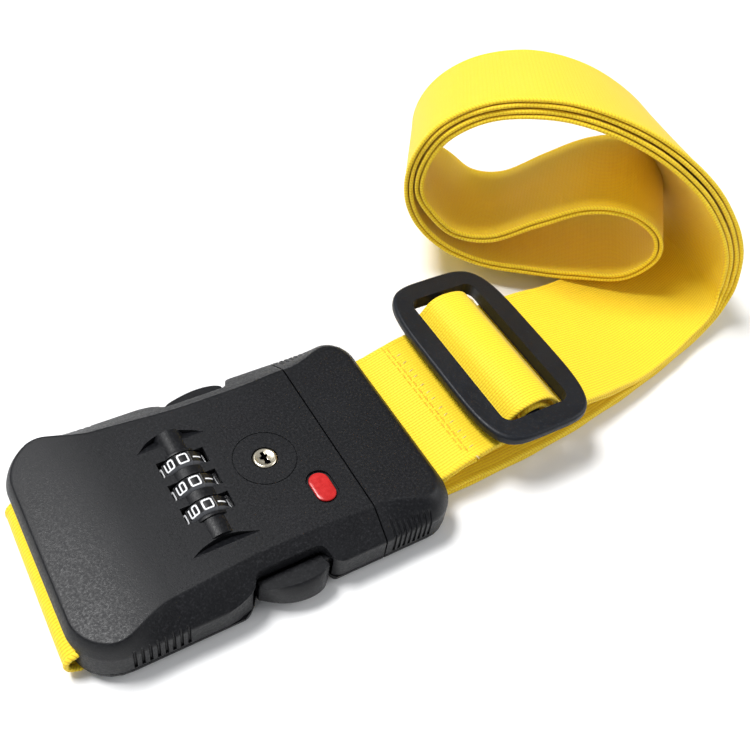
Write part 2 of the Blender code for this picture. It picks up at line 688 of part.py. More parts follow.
def make_screws(group, cutters, finish):
    pattern = None
    places = [("case_screw_%d" % (i + 1), x, y) for i, (x, y) in enumerate(SCREW_XY)]
    places += [("cap_screw_%d" % (i + 1), x, y) for i, (x, y) in enumerate(CAP_SCREW_XY)]
    for name, x, y in places:
        if pattern is None:
            bm = bmesh.new()
            rings = []
            for radius, z in ((2.0, 0.0), (2.3, 0.2), (2.3, 0.55), (1.2, 0.65), (1.2, 8.0), (0.6, 8.8)):
                rings.append([(radius * math.cos(2 * math.pi * i / 16),
                               radius * math.sin(2 * math.pi * i / 16), z) for i in range(16)])
            add_stack(bm, rings)
            screw = finish_mesh(name, bm, finish, group)
            pattern = screw.data
        else:
            screw = bpy.data.objects.new(name, pattern)
            group.objects.link(screw)
        screw.location = (x * MM, y * MM, (FLANGE_Z + 0.1) * MM)


# ---------------------------------------------------------------- slider

def slider_outline(inset):
    """Barrel like frame outline."""
    points = []
    for i in range(44):
        angle = 2 * math.pi * i / 44
        c, s = math.cos(angle), math.sin(angle)
        points.append(((SLIDER_LENGTH / 2 - inset) * math.copysign(abs(c) ** (2 / 3.2), c),
                       (SLIDER_WIDTH / 2 - inset) * math.copysign(abs(s) ** (2 / 3.2), s)))
    return points


def slider_place():
    return Matrix.Translation((SLIDER_X, SLIDER_Y, 0)) @ Matrix.Rotation(SLIDER_YAW, 4, "Z")


def make_slider(group, cutters, finish):
    """Frame with two rails and a centre bar, moulded in one piece, its step line round the edge."""
    bottom, top = SLIDER_Z
    bm = bmesh.new()
    add_stack(bm, [
        at_height(slider_outline(1.2), bottom), at_height(slider_outline(0.4), bottom + 0.6),
        at_height(slider_outline(0.4), bottom + 1.5), at_height(slider_outline(0.8), bottom + 1.6),
        at_height(slider_outline(0.8), bottom + 1.9), at_height(slider_outline(0.0), bottom + 2.0),
        at_height(slider_outline(0.0), top - 0.9), at_height(slider_outline(0.3), top - 0.3),
        at_height(slider_outline(1.0), top),
    ])
    slider = finish_mesh("slider_frame", bm, finish, group, slider_place())

    def window(tool):
        add_prism(tool, rounded_rectangle(WINDOW_LENGTH / 2, WINDOW_WIDTH / 2, 2.6, 4), bottom - 1, top + 1)

    def bar(tool):
        add_box(tool, (-BAR_HALF, -WINDOW_WIDTH / 2 - 1.5, BAR_Z[0]),
                (BAR_HALF, WINDOW_WIDTH / 2 + 1.5, BAR_Z[1]), 0.5)

    cut(slider, "slider_window", window, cutters, placed=slider_place())
    cut(slider, "slider_bar", bar, cutters, "UNION", placed=slider_place())


# ---------------------------------------------------------------- webbing

def spline(stations, steps):
    """Smooth curve through the stations, all five columns together."""
    rows = [Vector(row) for row in stations]
    rows = [rows[0] * 2 - rows[1]] + rows + [rows[-1] * 2 - rows[-2]]
    result = []
    for i in range(1, len(rows) - 2):
        a, b, c, d = rows[i - 1:i + 3]
        for k in range(steps):
            t = k / steps
            result.append(0.5 * (2 * b + (c - a) * t + (2 * a - 5 * b + 4 * c - d) * t * t
                                 + (3 * b - a - 3 * c + d) * t ** 3))
    result.append(rows[-2])
    return result


def width_way(station):
    azimuth, tilt = math.radians(station[3]), math.radians(station[4])
    return Vector((math.cos(azimuth) * math.cos(tilt), math.sin(azimuth) * math.cos(tilt), math.sin(tilt)))


def frames(stations):
    """Near edge, width direction and outward normal at each station."""
    middles = [Vector(s[:3]) + width_way(s) * WIDTH / 2 for s in stations]
    result = []
    for i, station in enumerate(stations):
        ahead = middles[min(i + 1, len(middles) - 1)]
        behind = middles[max(i - 1, 0)]
        way = width_way(station)
        normal = way.cross(ahead - behind).normalized()
        result.append((Vector(station[:3]), way, normal))
    return result


def inner_pass(outer):
    """Stations one pass inside the outer pass, from the right turn back to the left bend."""
    placed = frames(outer)
    result = []
    for control in range(SHARED_LAST, SHARED_FIRST - 1, -1):
        i = control * STEPS
        near = placed[i][0] + placed[i][2] * PASS_PITCH
        result.append((near.x, near.y, near.z, outer[i][3], outer[i][4]))
    return result


def make_band(name, placed, group, finish, thickness=PAIR, moved=None):
    """Closed band of webbing through the frames."""
    bm = bmesh.new()
    rows = []
    for near, way, normal in placed:
        far = near + way * WIDTH
        rows.append([bm.verts.new(near - normal * thickness / 2), bm.verts.new(far - normal * thickness / 2),
                     bm.verts.new(far + normal * thickness / 2), bm.verts.new(near + normal * thickness / 2)])
    for a, b in zip(rows, rows[1:]):
        for i in range(4):
            j = (i + 1) % 4
            bm.faces.new((a[i], a[j], b[j], b[i]))
    bm.faces.new(list(reversed(rows[0])))
    bm.faces.new(rows[-1])
    return finish_mesh(name, bm, finish, group, moved)


def trimmed(placed, start_gap, end_gap):
    """Pulls both ends of a band back a little, so that neighbours don't touch."""
    placed = list(placed)
    first = (placed[1][0] - placed[0][0]).normalized()
    last = (placed[-2][0] - placed[-1][0]).normalized()
    placed[0] = (placed[0][0] + first * start_gap, placed[0][1], placed[0][2])
    placed[-1] = (placed[-1][0] + last * end_gap, placed[-1][1], placed[-1][2])
    return placed


def flat_path(points, middle_y):
    """Frames of a band that runs square to Y, through points of x and z."""
    placed = []
    for i, (x, z) in enumerate(points):
        ahead = points[min(i + 1, len(points) - 1)]
        behind = points[max(i - 1, 0)]
        along = Vector((ahead[0] - behind[0], 0, ahead[1] - behind[1]))
        way = Vector((0, 1, 0))
        placed.append((Vector((x, middle_y - WIDTH / 2, z)), way, way.cross(along).normalized()))
    return placed


def make_webbing(group, finish):
    outer = spline(OUTER_COIL + LOWER_RUN, STEPS)
    inner = spline(UPPER_RUN + inner_pass(outer) + SMALL_LOOP + OUTER_COIL[:1], STEPS)
    outer_frames, inner_frames = frames(outer), frames(inner)
    parts = [
        ("webbing_small_loop_floor", outer_frames, 0, 4),
        ("webbing_outer_bend", outer_frames, 4, 9),
        ("webbing_outer_arch", outer_frames, 9, 13),
        ("webbing_outer_turn", outer_frames, 13, 18),
        ("webbing_lower_run", outer_frames, 18, 24),
        ("webbing_upper_run", inner_frames, 0, 6),
        ("webbing_inner_turn", inner_frames, 6, 12),
        ("webbing_inner_arch", inner_frames, 12, 16),
        ("webbing_inner_bend", inner_frames, 16, 23),
        ("webbing_small_loop", inner_frames, 23, 29),
    ]
    for name, placed, first, last in parts:
        piece = placed[first * STEPS:last * STEPS + 1]
        start_gap = 0.9 if name == "webbing_small_loop_floor" else 0.2
        make_band(name, trimmed(piece, start_gap, 0.2), group, finish)

    fold = [(1.1, 0.75), (-30, 0.75), (-51.5, 0.75)]
    fold += [(x, z) for x, z in arc((-52.0, 4.4), 3.65, 262, 98, 10)]
    fold += [(-50.0, 8.0), (-48.2, 7.0), (-47.2, 5.4), (-46.0, 3.6), (-43.6, 2.45), (-30, 2.42), (1.1, 2.42)]
    make_band("webbing_lock_fold", flat_path(fold, 0.0), group, finish, PLY)

    loop = [(67.4, 14.1), (64.0, 13.7), (60.0, 12.4), (56.0, 11.2), (52.0, 10.9), (47.6, 10.95)]
    loop += [(x, z) for x, z in arc((45.2, 8.5), 2.45, 96, 264, 8)]
    loop += [(47.6, 6.0), (52.0, 6.9), (56.0, 8.9), (60.0, 10.6), (64.0, 11.9), (67.4, 12.3)]
    male = flat_path(loop, 0.0)
    male = [(near + Vector((0, 0.03 * max(0.0, near.x - 50.0), 0)), way, normal) for near, way, normal in male]
    make_band("webbing_cap_loop", male, group, finish, PLY)

    grip = [(-10.9, 15.5), (-9.0, 16.6), (-6.3, 19.4), (-3.3, 20.7), (0, 21.1), (3.3, 20.7),
            (6.3, 19.4), (9.0, 16.6), (10.9, 15.5)]
    make_band("webbing_grip", flat_path(grip, -0.8), group, finish, PLY, slider_place())
    ring = [(7.1, 15.6), (5.1, 17.3), (2.8, 18.7), (0, 19.1), (-2.7, 18.5), (-3.9, 16.8), (-3.1, 15.2)]
    ring += [(-0.1, 14.85), (3.9, 14.7)]
    make_band("webbing_slider_loop", flat_path(ring, -0.8), group, finish, PLY - 0.2, slider_place())


def main():
    clear_scene()
    group = collection("luggage_strap")
    cutters = collection("cutters")
    case = material("case_black", (0.028, 0.03, 0.035), 0.5)
    dial = material("dial_black", (0.012, 0.012, 0.013), 0.25)
    slider = material("slider_black", (0.035, 0.038, 0.05), 0.55)
    webbing = material("webbing_yellow", (0.95, 0.72, 0.03), 0.75)
    brass = material("brass", (0.7, 0.52, 0.22), 0.35, 1.0)
    steel = material("steel", (0.6, 0.6, 0.6), 0.35, 1.0)
    nickel = material("nickel", (0.8, 0.77, 0.68), 0.25, 1.0)
    red = material("emblem_red", (0.75, 0.05, 0.04), 0.35)

    make_lock_cover(group, cutters, case)
    make_lock_base(group, cutters, case)
    make_end_cap(group, cutters, case)
    make_release_arm("release_arm_far", 1, group, cutters, case)
    make_release_arm("release_arm_near", -1, group, cutters, case)
    make_dials(group, cutters, dial, brass, steel)
    make_key_lock(group, cutters, nickel, brass, steel)
    make_bolt_spring(group, steel)
    make_emblem(group, red)
    make_reset_pin(group, case)
    make_screws(group, cutters, steel)
    make_slider(group, cutters, slider)
    make_webbing(group, webbing)


main()
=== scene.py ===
"""Luggage strap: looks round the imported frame. Shapes are written in millimetres."""
import json
import math

import bmesh
import bpy
from mathutils import Matrix, Vector
from mathutils.bvhtree import BVHTree


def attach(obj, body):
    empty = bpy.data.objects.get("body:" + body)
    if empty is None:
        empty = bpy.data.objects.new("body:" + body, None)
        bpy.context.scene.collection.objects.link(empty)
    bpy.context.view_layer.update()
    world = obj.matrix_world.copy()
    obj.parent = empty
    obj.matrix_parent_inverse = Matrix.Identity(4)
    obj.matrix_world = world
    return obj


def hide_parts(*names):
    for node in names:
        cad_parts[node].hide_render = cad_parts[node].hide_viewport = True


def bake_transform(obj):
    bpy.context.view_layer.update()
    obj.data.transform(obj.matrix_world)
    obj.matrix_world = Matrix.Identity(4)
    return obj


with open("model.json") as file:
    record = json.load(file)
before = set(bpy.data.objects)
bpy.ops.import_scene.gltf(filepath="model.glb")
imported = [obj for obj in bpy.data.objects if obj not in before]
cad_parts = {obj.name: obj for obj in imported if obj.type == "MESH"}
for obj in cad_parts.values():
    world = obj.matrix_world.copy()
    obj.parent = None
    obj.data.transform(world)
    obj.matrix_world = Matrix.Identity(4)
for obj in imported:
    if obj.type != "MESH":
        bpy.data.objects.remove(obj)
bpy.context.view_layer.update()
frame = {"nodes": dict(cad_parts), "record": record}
NODES = frame["nodes"]
MM = 0.001

# Webbing
WIDTH, PLY, PLY_GAP = 50.0, 1.4, 0.3
PLY_STEP = (PLY + PLY_GAP) / 2
PASS_PITCH = 2 * PLY + PLY_GAP + 0.6
# Buckle: the lock half ends at -END_X and the end cap at END_X
SEAM_X, SEAM_GAP, END_X, HALF_WIDTH = 29.6, 0.45, 54.2, 35.6
CORNER, LOW_CORNER, LEFT_CORNER = 10.0, 12.0, 13.5
COVER_Z, WALL_TOP_Z, SIDE_CEILING_Z, CEILING_Z, TOP_Z = 3.6, 10.2, 12.8, 14.7, 16.7
# The top sinks by DIP from DIP_X to the lock half's end
DIP, DIP_X = 2.6, -29.0
CAVITY_START_X, CAVITY_END_X, PLATE_Y = -41.0, 27.2, 26.9
ARM_Y, ARM_TOP_Z = 33.9, 10.8
# Dials, key and badge
DIAL_X, DIAL_Z, DIAL_RADIUS, DIAL_WIDTH, DIAL_PITCH = -10.3, 11.75, 6.9, 4.8, 8.15
KEY_X, FACE_RADIUS = 10.3, 8.9
BADGE_X, BADGE_Y = 20.1, -15.4
# Slider
SLIDER_X, SLIDER_Y, SLIDER_YAW = 89.5, 6.0, math.radians(-0.5)


# ------------------------------------------------------------------ camera, floor and light

def camera():
    """Camera at the photo's viewing angle."""
    azimuth, elevation, roll = (math.radians(a) for a in (-37.59, 47.55, 9.6))
    back = Vector((math.sin(azimuth) * math.cos(elevation), -math.cos(azimuth) * math.cos(elevation),
                   math.sin(elevation)))
    right = Vector((math.cos(azimuth), math.sin(azimuth), 0))
    up = back.cross(right)
    x = right * math.cos(roll) + up * math.sin(roll)
    y = up * math.cos(roll) - right * math.sin(roll)
    turn = Matrix((x, y, back)).transposed().to_4x4()
    data = bpy.data.cameras.new("camera")
    data.lens, data.sensor_width = 46.65, 36.0
    data.clip_start, data.clip_end = 0.01, 20.0
    made = bpy.data.objects.new("camera", data)
    made.matrix_world = Matrix.Translation(Vector((-66.99, -143.34, 233.31)) * MM) @ turn
    bpy.context.collection.objects.link(made)
    bpy.context.scene.camera = made


def softbox(name, place, target, size, power, color=(1, 1, 1)):
    """Rectangular area light that faces its target; places in metres."""
    data = bpy.data.lights.new(name, "AREA")
    data.shape, data.size, data.size_y = "RECTANGLE", size[0], size[1]
    data.energy, data.color = power, color
    made = bpy.data.objects.new(name, data)
    made.location = place
    made.rotation_euler = (Vector(target) - Vector(place)).to_track_quat("-Z", "Y").to_euler()
    bpy.context.collection.objects.link(made)


def studio():
    """Dim cool surroundings, three soft lights and a plain white floor."""
    world = bpy.data.worlds.new("studio")
    world.use_nodes = True
    world.node_tree.nodes["Background"].inputs["Color"].default_value = (0.93, 0.96, 1.0, 1)
    world.node_tree.nodes["Background"].inputs["Strength"].default_value = 0.27
    bpy.context.scene.world = world
    softbox("key_light", (-0.38, 0.42, 1.3), (0.02, 0.0, 0.0), (0.55, 0.4), 22.5)
    softbox("fill_light", (-0.9, -0.5, 0.9), (0.0, 0.0, 0.0), (0.9, 0.9), 2.0, (0.95, 0.97, 1.0))
    softbox("side_light", (1.1, -0.5, 0.7), (0.1, 0.0, 0.0), (0.7, 0.7), 6.0)
    mesh = bpy.data.meshes.new("floor")
    reach, z = 4.0, -0.0003
    corners = [(-reach, -reach, z), (reach, -reach, z), (reach, reach, z), (-reach, reach, z)]
    mesh.from_pydata(corners, [], [(0, 1, 2, 3)])
    floor = bpy.data.objects.new("floor", mesh)
    bpy.context.collection.objects.link(floor)
    paint = bpy.data.materials.new("floor_white")
    paint.use_nodes = True
    shader = paint.node_tree.nodes["Principled BSDF"]
    shader.inputs["Base Color"].default_value = (0.9, 0.9, 0.9, 1)
    shader.inputs["Roughness"].default_value = 0.7
    mesh.materials.append(paint)


# ------------------------------------------------------------------ materials

class Paint:
    """A small helper round one material's node tree."""

    def __init__(self, name, color, roughness, metallic=0.0):
        self.made = bpy.data.materials.new(name)
        self.made.use_nodes = True
        self.tree = self.made.node_tree
        self.shader = self.tree.nodes["Principled BSDF"]
        self.shader.inputs["Base Color"].default_value = (*color, 1)
        self.shader.inputs["Roughness"].default_value = roughness
        self.shader.inputs["Metallic"].default_value = metallic

    def node(self, kind, **settings):
        made = self.tree.nodes.new(kind)
        for key, value in settings.items():
            setattr(made, key, value)
        return made

    def math(self, operation, a, b=None):
        made = self.node("ShaderNodeMath", operation=operation)
        for socket, value in zip(made.inputs, (a, b)):
            if value is None:
                continue
            if isinstance(value, (int, float)):
                socket.default_value = value
            else:
                self.tree.links.new(value, socket)
        return made.outputs[0]

    def noise(self, scale, detail, roughness):
        place = self.node("ShaderNodeTexCoord")
        made = self.node("ShaderNodeTexNoise")
        made.inputs["Scale"].default_value = scale
        made.inputs["Detail"].default_value = detail
        made.inputs["Roughness"].default_value = roughness
        self.tree.links.new(place.outputs["Object"], made.inputs["Vector"])
        return made.outputs["Fac"]

    def wave(self, value):
        """Rows of rounded ribs, one for each whole number of the value."""
        return self.math("ABSOLUTE", self.math("SINE", self.math("MULTIPLY", value, math.pi)))

    def ramp(self, value, low, high, out_low, out_high):
        made = self.node("ShaderNodeMapRange")
        numbers = {"From Min": low, "From Max": high, "To Min": out_low, "To Max": out_high}
        for name, number in numbers.items():
            made.inputs[name].default_value = number
        self.tree.links.new(value, made.inputs["Value"])
        return made.outputs["Result"]

    def mix(self, share, a, b):
        made = self.node("ShaderNodeMix", data_type="RGBA")
        for socket, value in zip((made.inputs[0], made.inputs[6], made.inputs[7]), (share, a, b)):
            if isinstance(value, tuple):
                socket.default_value = (*value, 1)
            elif isinstance(value, (int, float)):
                socket.default_value = value
            else:
                self.tree.links.new(value, socket)
        return made.outputs[2]

    def bump(self, height, strength, distance):
        made = self.node("ShaderNodeBump")
        made.inputs["Strength"].default_value = strength
        made.inputs["Distance"].default_value = distance
        self.tree.links.new(height, made.inputs["Height"])
        self.tree.links.new(made.outputs["Normal"], self.shader.inputs["Normal"])

    def link(self, value, name):
        self.tree.links.new(value, self.shader.inputs[name])


def moulded(name, color, pale, roughness):
    """Spark eroded plastic: fine pits, with pale specks painted into the colour as painted highlights where
    the pits catch the light.
    """
    paint = Paint(name, color, roughness)
    fine = paint.noise(1500.0, 2.0, 0.6)
    broad = paint.noise(60.0, 3.0, 0.55)
    # pale specks painted into the base colour: painted glints where the pits catch the light
    painted_glint = paint.ramp(fine, 0.56, 0.72, 0.0, 1.0)
    shade = paint.mix(paint.math("MULTIPLY", painted_glint, 0.35), color, pale)
    paint.link(paint.mix(paint.ramp(broad, 0.45, 0.8, 0.0, 0.1), shade, pale), "Base Color")
    paint.link(paint.ramp(fine, 0.3, 0.7, roughness - 0.12, roughness + 0.12), "Roughness")
    paint.shader.inputs["Specular IOR Level"].default_value = 0.3
    paint.bump(paint.noise(3200.0, 2.0, 0.6), 0.35, 0.0001)
    return paint.made


def woven(name, color, deep):
    """Ribbed webbing: ribs along it, dashed grooves between them, a rope like cord at each edge; the grooves
    and the rope's twist are painted darker as painted shade.
    """
    ribs, picks, wefts, twists = 54.0, 40.0, 38.0, 46.0
    paint = Paint(name, color, 0.72)
    uv = paint.node("ShaderNodeUVMap", uv_map="weave")
    split = paint.node("ShaderNodeSeparateXYZ")
    paint.tree.links.new(uv.outputs["UV"], split.inputs["Vector"])
    across, along = split.outputs["X"], split.outputs["Y"]
    # across runs from 0 to 1 over the width, and along counts lengths of one width
    column = paint.math("MULTIPLY", across, ribs)
    rib = paint.ramp(paint.wave(column), 0.08, 0.75, 0.0, 1.0)
    # the dashes of neighbouring grooves are half a pick apart
    shift = paint.math("MULTIPLY", paint.math("FLOOR", column), 0.5)
    pick = paint.math("ADD", paint.math("MULTIPLY", along, picks), shift)
    dash = paint.ramp(paint.wave(pick), 0.25, 0.8, 0.0, 1.0)
    # a faint rib across, where the weft pulls the face in; it also darkens the colour a little, as painted
    # shade
    weft = paint.ramp(paint.wave(paint.math("MULTIPLY", along, wefts)), 0.1, 0.8, 0.0, 1.0)
    body = paint.math("ADD", paint.math("MULTIPLY", rib, 0.6), paint.math("MULTIPLY", dash, 0.25))
    body = paint.math("ADD", body, paint.math("MULTIPLY", weft, 0.3))
    # painted shade: the grooves between the ribs and between the dashes get the darker colour
    groove_shade = paint.math("MAXIMUM", rib, paint.math("MULTIPLY", dash, 0.6))
    groove_shade = paint.math("MULTIPLY", groove_shade, paint.ramp(weft, 0.0, 1.0, 0.78, 1.0))
    # the cord along each edge, twisted like a rope
    edge = paint.math("GREATER_THAN", paint.math("ABSOLUTE", paint.math("SUBTRACT", across, 0.5)), 0.474)
    rope = paint.math("ADD", paint.math("MULTIPLY", along, twists), paint.math("MULTIPLY", across, 30.0))
    rope = paint.ramp(paint.wave(rope), 0.0, 0.7, 0.1, 0.9)

    def either(a, b):
        chosen = paint.node("ShaderNodeMix", data_type="FLOAT")
        paint.tree.links.new(edge, chosen.inputs[0])
        paint.tree.links.new(a, chosen.inputs[2])
        paint.tree.links.new(b, chosen.inputs[3])
        return chosen.outputs[0]

    height, shade = either(body, rope), either(groove_shade, rope)
    fuzz = paint.noise(1700.0, 3.0, 0.7)
    broad = paint.noise(45.0, 2.0, 0.5)
    # the colour goes darker in the grooves and along the rope's twist: painted shade
    tone = paint.mix(paint.ramp(shade, 0.0, 0.8, 0.0, 1.0), deep, color)
    speckled = paint.mix(paint.ramp(fuzz, 0.35, 0.7, 0.16, 0.0), tone, deep)
    aged = tuple(c * f for c, f in zip(color, (0.98, 0.9, 0.7)))
    paint.link(paint.mix(paint.ramp(broad, 0.3, 0.75, 0.0, 0.4), speckled, aged), "Base Color")
    paint.link(paint.ramp(height, 0.0, 1.0, 0.9, 0.65), "Roughness")
    paint.shader.inputs["Sheen Weight"].default_value = 0.15
    paint.shader.inputs["Sheen Roughness"].default_value = 0.4
    paint.bump(paint.math("ADD", height, paint.math("MULTIPLY", fuzz, 0.2)), 0.6, 0.00018)
    return paint.made


def metal(name, color, roughness):
    """Plated or bare metal with a fine uneven sheen."""
    paint = Paint(name, color, roughness, 1.0)
    grain = paint.noise(900.0, 4.0, 0.6)
    paint.link(paint.ramp(grain, 0.3, 0.7, roughness - 0.06, roughness + 0.14), "Roughness")
    dull = tuple(c * 0.75 for c in color)
    paint.link(paint.mix(paint.ramp(grain, 0.45, 0.75, 0.0, 0.5), color, dull), "Base Color")
    paint.bump(grain, 0.2, 0.00005)
    return paint.made


def gloss(name, color, roughness):
    """Smooth lacquer or thread, a little uneven in tone and sheen."""
    paint = Paint(name, color, roughness)
    grain = paint.noise(700.0, 3.0, 0.5)
    paint.link(paint.ramp(grain, 0.3, 0.7, roughness - 0.05, roughness + 0.1), "Roughness")
    lighter = tuple(min(1.0, c * 1.35 + 0.004) for c in color)
    paint.link(paint.mix(paint.ramp(grain, 0.4, 0.7, 0.0, 0.6), color, lighter), "Base Color")
    paint.bump(grain, 0.1, 0.00003)
    return paint.made


# ------------------------------------------------------------------ shape helpers, in millimetres

def finish(name, bm, paint, angle=32.0, placed=None):
    """Turns a mesh written in millimetres into an object in metres."""
    if placed is not None:
        bmesh.ops.transform(bm, matrix=placed, verts=bm.verts)
    bmesh.ops.scale(bm, vec=(MM, MM, MM), verts=bm.verts)
    bmesh.ops.recalc_face_normals(bm, faces=bm.faces)
    mesh = bpy.data.meshes.new(name)
    bm.to_mesh(mesh)
    bm.free()
    mesh.shade_smooth()
    mesh.set_sharp_from_angle(angle=math.radians(angle))
    made = bpy.data.objects.new(name, mesh)
    if paint is not None:
        mesh.materials.append(paint)
    bpy.context.collection.objects.link(made)
    return made


def add_stack(bm, rings, capped=True):
    """Solid through rings of equal length: capped at both ends, or else joined last ring to first."""
    rows = [[bm.verts.new(point) for point in ring] for ring in rings]
    count = len(rows[0])
    pairs = list(zip(rows, rows[1:])) + ([] if capped else [(rows[-1], rows[0])])
    for lower, upper in pairs:
        for i in range(count):
            j = (i + 1) % count
            bm.faces.new((lower[i], lower[j], upper[j], upper[i]))
    if capped:
        bm.faces.new(list(reversed(rows[0])))
        bm.faces.new(rows[-1])


def add_box(bm, low, high, chamfer=0.0):
    """Box between two corners, with rounded edges if a chamfer is given."""
    size, middle = Vector(high) - Vector(low), (Vector(high) + Vector(low)) / 2
    shape = Matrix.Translation(middle) @ Matrix.Diagonal((*size, 1.0))
    made = bmesh.ops.create_cube(bm, size=1.0, matrix=shape)
    if chamfer:
        edges = list({edge for vert in made["verts"] for edge in vert.link_edges})
        bmesh.ops.bevel(bm, geom=edges, offset=chamfer, segments=3, affect="EDGES", profile=0.5)


def add_cylinder(bm, radius, start, end, sides):
    """Cylinder between the middles of its two ends."""
    start, end = Vector(start), Vector(end)
    turn = (end - start).to_track_quat("Z", "Y").to_matrix().to_4x4()
    bmesh.ops.create_cone(bm, cap_ends=True, segments=sides, radius1=radius, radius2=radius,
                          depth=(end - start).length, matrix=Matrix.Translation((start + end) / 2) @ turn)


def arc(center, radius, start, end, steps):
    """Points along an arc, from one angle to another in degrees."""
    return [(center[0] + radius * math.cos(math.radians(start + (end - start) * i / steps)),
             center[1] + radius * math.sin(math.radians(start + (end - start) * i / steps)))
            for i in range(steps + 1)]


def circle(center_x, radius, z, count):
    """Level ring of points about a place on the x axis."""
    turns = [2 * math.pi * i / count for i in range(count)]
    return [(center_x + radius * math.cos(turn), radius * math.sin(turn), z) for turn in turns]


def rise(low, high, value):
    """Smooth step from 0 at low to 1 at high."""
    share = min(1.0, max(0.0, (value - low) / (high - low)))
    return share * share * (3 - 2 * share)


def at_height(points, z):
    return [(x, y, z) for x, y in points]


def rounded_rectangle(half_x, half_y, radius, steps):
    points = []
    for sx, sy, start in ((1, 1, 0), (-1, 1, 90), (-1, -1, 180), (1, -1, 270)):
        points += arc((sx * (half_x - radius), sy * (half_y - radius)), radius, start, start + 90, steps)
    return points


def mirrored(low, high):
    """The same box on the far side and on the near side, as pairs of corners."""
    near = ((low[0], -high[1], low[2]), (high[0], -low[1], high[2]))
    return (low, high), near


def cut(target, build, operation="DIFFERENCE", placed=None):
    """Exact Boolean with a solid that is thrown away afterwards."""
    bm = bmesh.new()
    build(bm)
    tool = finish("tool", bm, None, placed=placed)
    change = target.modifiers.new("cut", "BOOLEAN")
    change.operation, change.solver, change.use_self, change.object = operation, "EXACT", True, tool
    bake(target)
    bpy.data.objects.remove(tool, do_unlink=True)


def apply_modifiers(target):
    evaluated = target.evaluated_get(bpy.context.evaluated_depsgraph_get())
    mesh = bpy.data.meshes.new_from_object(evaluated)
    target.modifiers.clear()
    target.data = mesh


def bake(target, angle=32.0):
    """Applies the modifiers of a mesh and shades it smooth between its sharp edges."""
    apply_modifiers(target)
    target.data.shade_smooth()
    target.data.set_sharp_from_angle(angle=math.radians(angle))


def soften(target, width, segments=2, angle=35.0):
    """Small rounded edges, as a mould leaves them."""
    change = target.modifiers.new("soften", "BEVEL")
    change.width, change.segments, change.limit_method = width * MM, segments, "ANGLE"
    change.angle_limit, change.harden_normals, change.use_clamp_overlap = math.radians(angle), False, True
    bake(target, 50.0)
    # large flat faces keep their own normal, so that shading doesn't smear across them
    change = target.modifiers.new("flats", "WEIGHTED_NORMAL")
    change.mode, change.weight, change.keep_sharp = "FACE_AREA", 100, True
    apply_modifiers(target)


# ------------------------------------------------------------------ webbing

COIL_AZIMUTH, COIL_OFFSET, COIL_SHIFT_X = math.radians(52.0), 145.4, 54.0


def coil(across, z, azimuth, tilt):
    """Station given along and up the coil's near side."""
    side = Vector((math.sin(COIL_AZIMUTH), -math.cos(COIL_AZIMUTH)))
    away = Vector((math.cos(COIL_AZIMUTH), math.sin(COIL_AZIMUTH)))
    place = side * across + away * COIL_OFFSET
    return (place.x - COIL_SHIFT_X, place.y, z, azimuth, tilt)


# Stations on the webbing's route: near edge as x, y, z, then direction and tilt of the width in degrees
OUTER_COIL = [
    coil(156, 14.2, 48, -8), coil(140, 10.9, 48, -8.5), coil(122, 9.4, 49, -8.5),
    coil(106, 9.6, 50, -9), coil(93, 13.6, 51, -9), coil(82.5, 22, 52, -10),
    coil(77, 34, 53, -11.5), coil(77.5, 48, 54, -12), coil(84, 61.5, 54, -12.5),
    coil(97, 71.5, 54, -12.5), coil(115, 76, 55, -12.5), coil(134, 74.8, 56, -13.5),
    coil(154, 68.3, 59.3, -15), coil(171.5, 57.5, 62.8, -17), coil(183.5, 45, 66, -19.5),
    coil(190.5, 33, 69, -19), coil(193.5, 21.5, 71.5, -15), (188.4, -4.8, 13.0, 74, -10),
]
LOWER_RUN = [
    (182.8, -7.0, 6.0, 77, -4.5), (171.5, -9.8, 2.5, 80, -0.9), (154, -13.9, 1.55, 83, 0),
    (130, -18.8, 1.55, 85, 0), (98, -23.3, 1.55, 87, 0), (56, -25, 1.55, 90, 0),
    (1.4, -25, 1.55, 90, 0),
]
UPPER_RUN = [
    (68, -24.2, 13.2, 90, 0), (80, -22.4, 12.3, 89, 0), (96, -21.3, 12.2, 87, 0),
    (111, -21.0, 12.0, 86, 0), (126, -19.6, 9.0, 84, 0), (141, -17.3, 6.2, 83, 0),
    (154, -14.4, 5.6, 82, -0.3),
]
SMALL_LOOP = [
    coil(87, 26, 49, -9), coil(96, 20, 48, -8.5), coil(108, 21, 47, -7.5), coil(122, 30.5, 47, -5.5),
    coil(136, 39, 46.5, -4), coil(150, 40.5, 46.5, -3), coil(161.5, 34, 46.5, -3.2), coil(164, 24, 47, -5),
]
# Stations of the outer coil that the inner pass lies against
SHARED_FIRST, SHARED_LAST = 6, 19


def spline(stations, steps):
    """Catmull-Rom curve through rows of numbers."""
    rows = [Vector(row) for row in stations]
    rows = [rows[0] * 2 - rows[1]] + rows + [rows[-1] * 2 - rows[-2]]
    result = []
    for i in range(1, len(rows) - 2):
        a, b, c, d = rows[i - 1:i + 3]
        for k in range(steps):
            t = k / steps
            result.append(0.5 * (2 * b + (c - a) * t + (2 * a - 5 * b + 4 * c - d) * t * t
                                 + (3 * b - a - 3 * c + d) * t ** 3))
    result.append(rows[-2])
    return result


def smooth_plan(points, steps):
    """The same curve through points in a plane."""
    return [tuple(row) for row in spline(points, steps)]


def width_way(station):
    """Direction from a station's near edge to its far edge."""
    azimuth, tilt = math.radians(station[3]), math.radians(station[4])
    return Vector((math.cos(azimuth) * math.cos(tilt), math.sin(azimuth) * math.cos(tilt), math.sin(tilt)))


def frames(stations):
    """(near edge, direction of the width, normal) for each station."""
    middles = [Vector(s[:3]) + width_way(s) * WIDTH / 2 for s in stations]
    result = []
    for i, station in enumerate(stations):
        ahead, behind = middles[min(i + 1, len(middles) - 1)], middles[max(i - 1, 0)]
        way = width_way(station)
        result.append((Vector(station[:3]), way, way.cross(ahead - behind).normalized()))
    return result


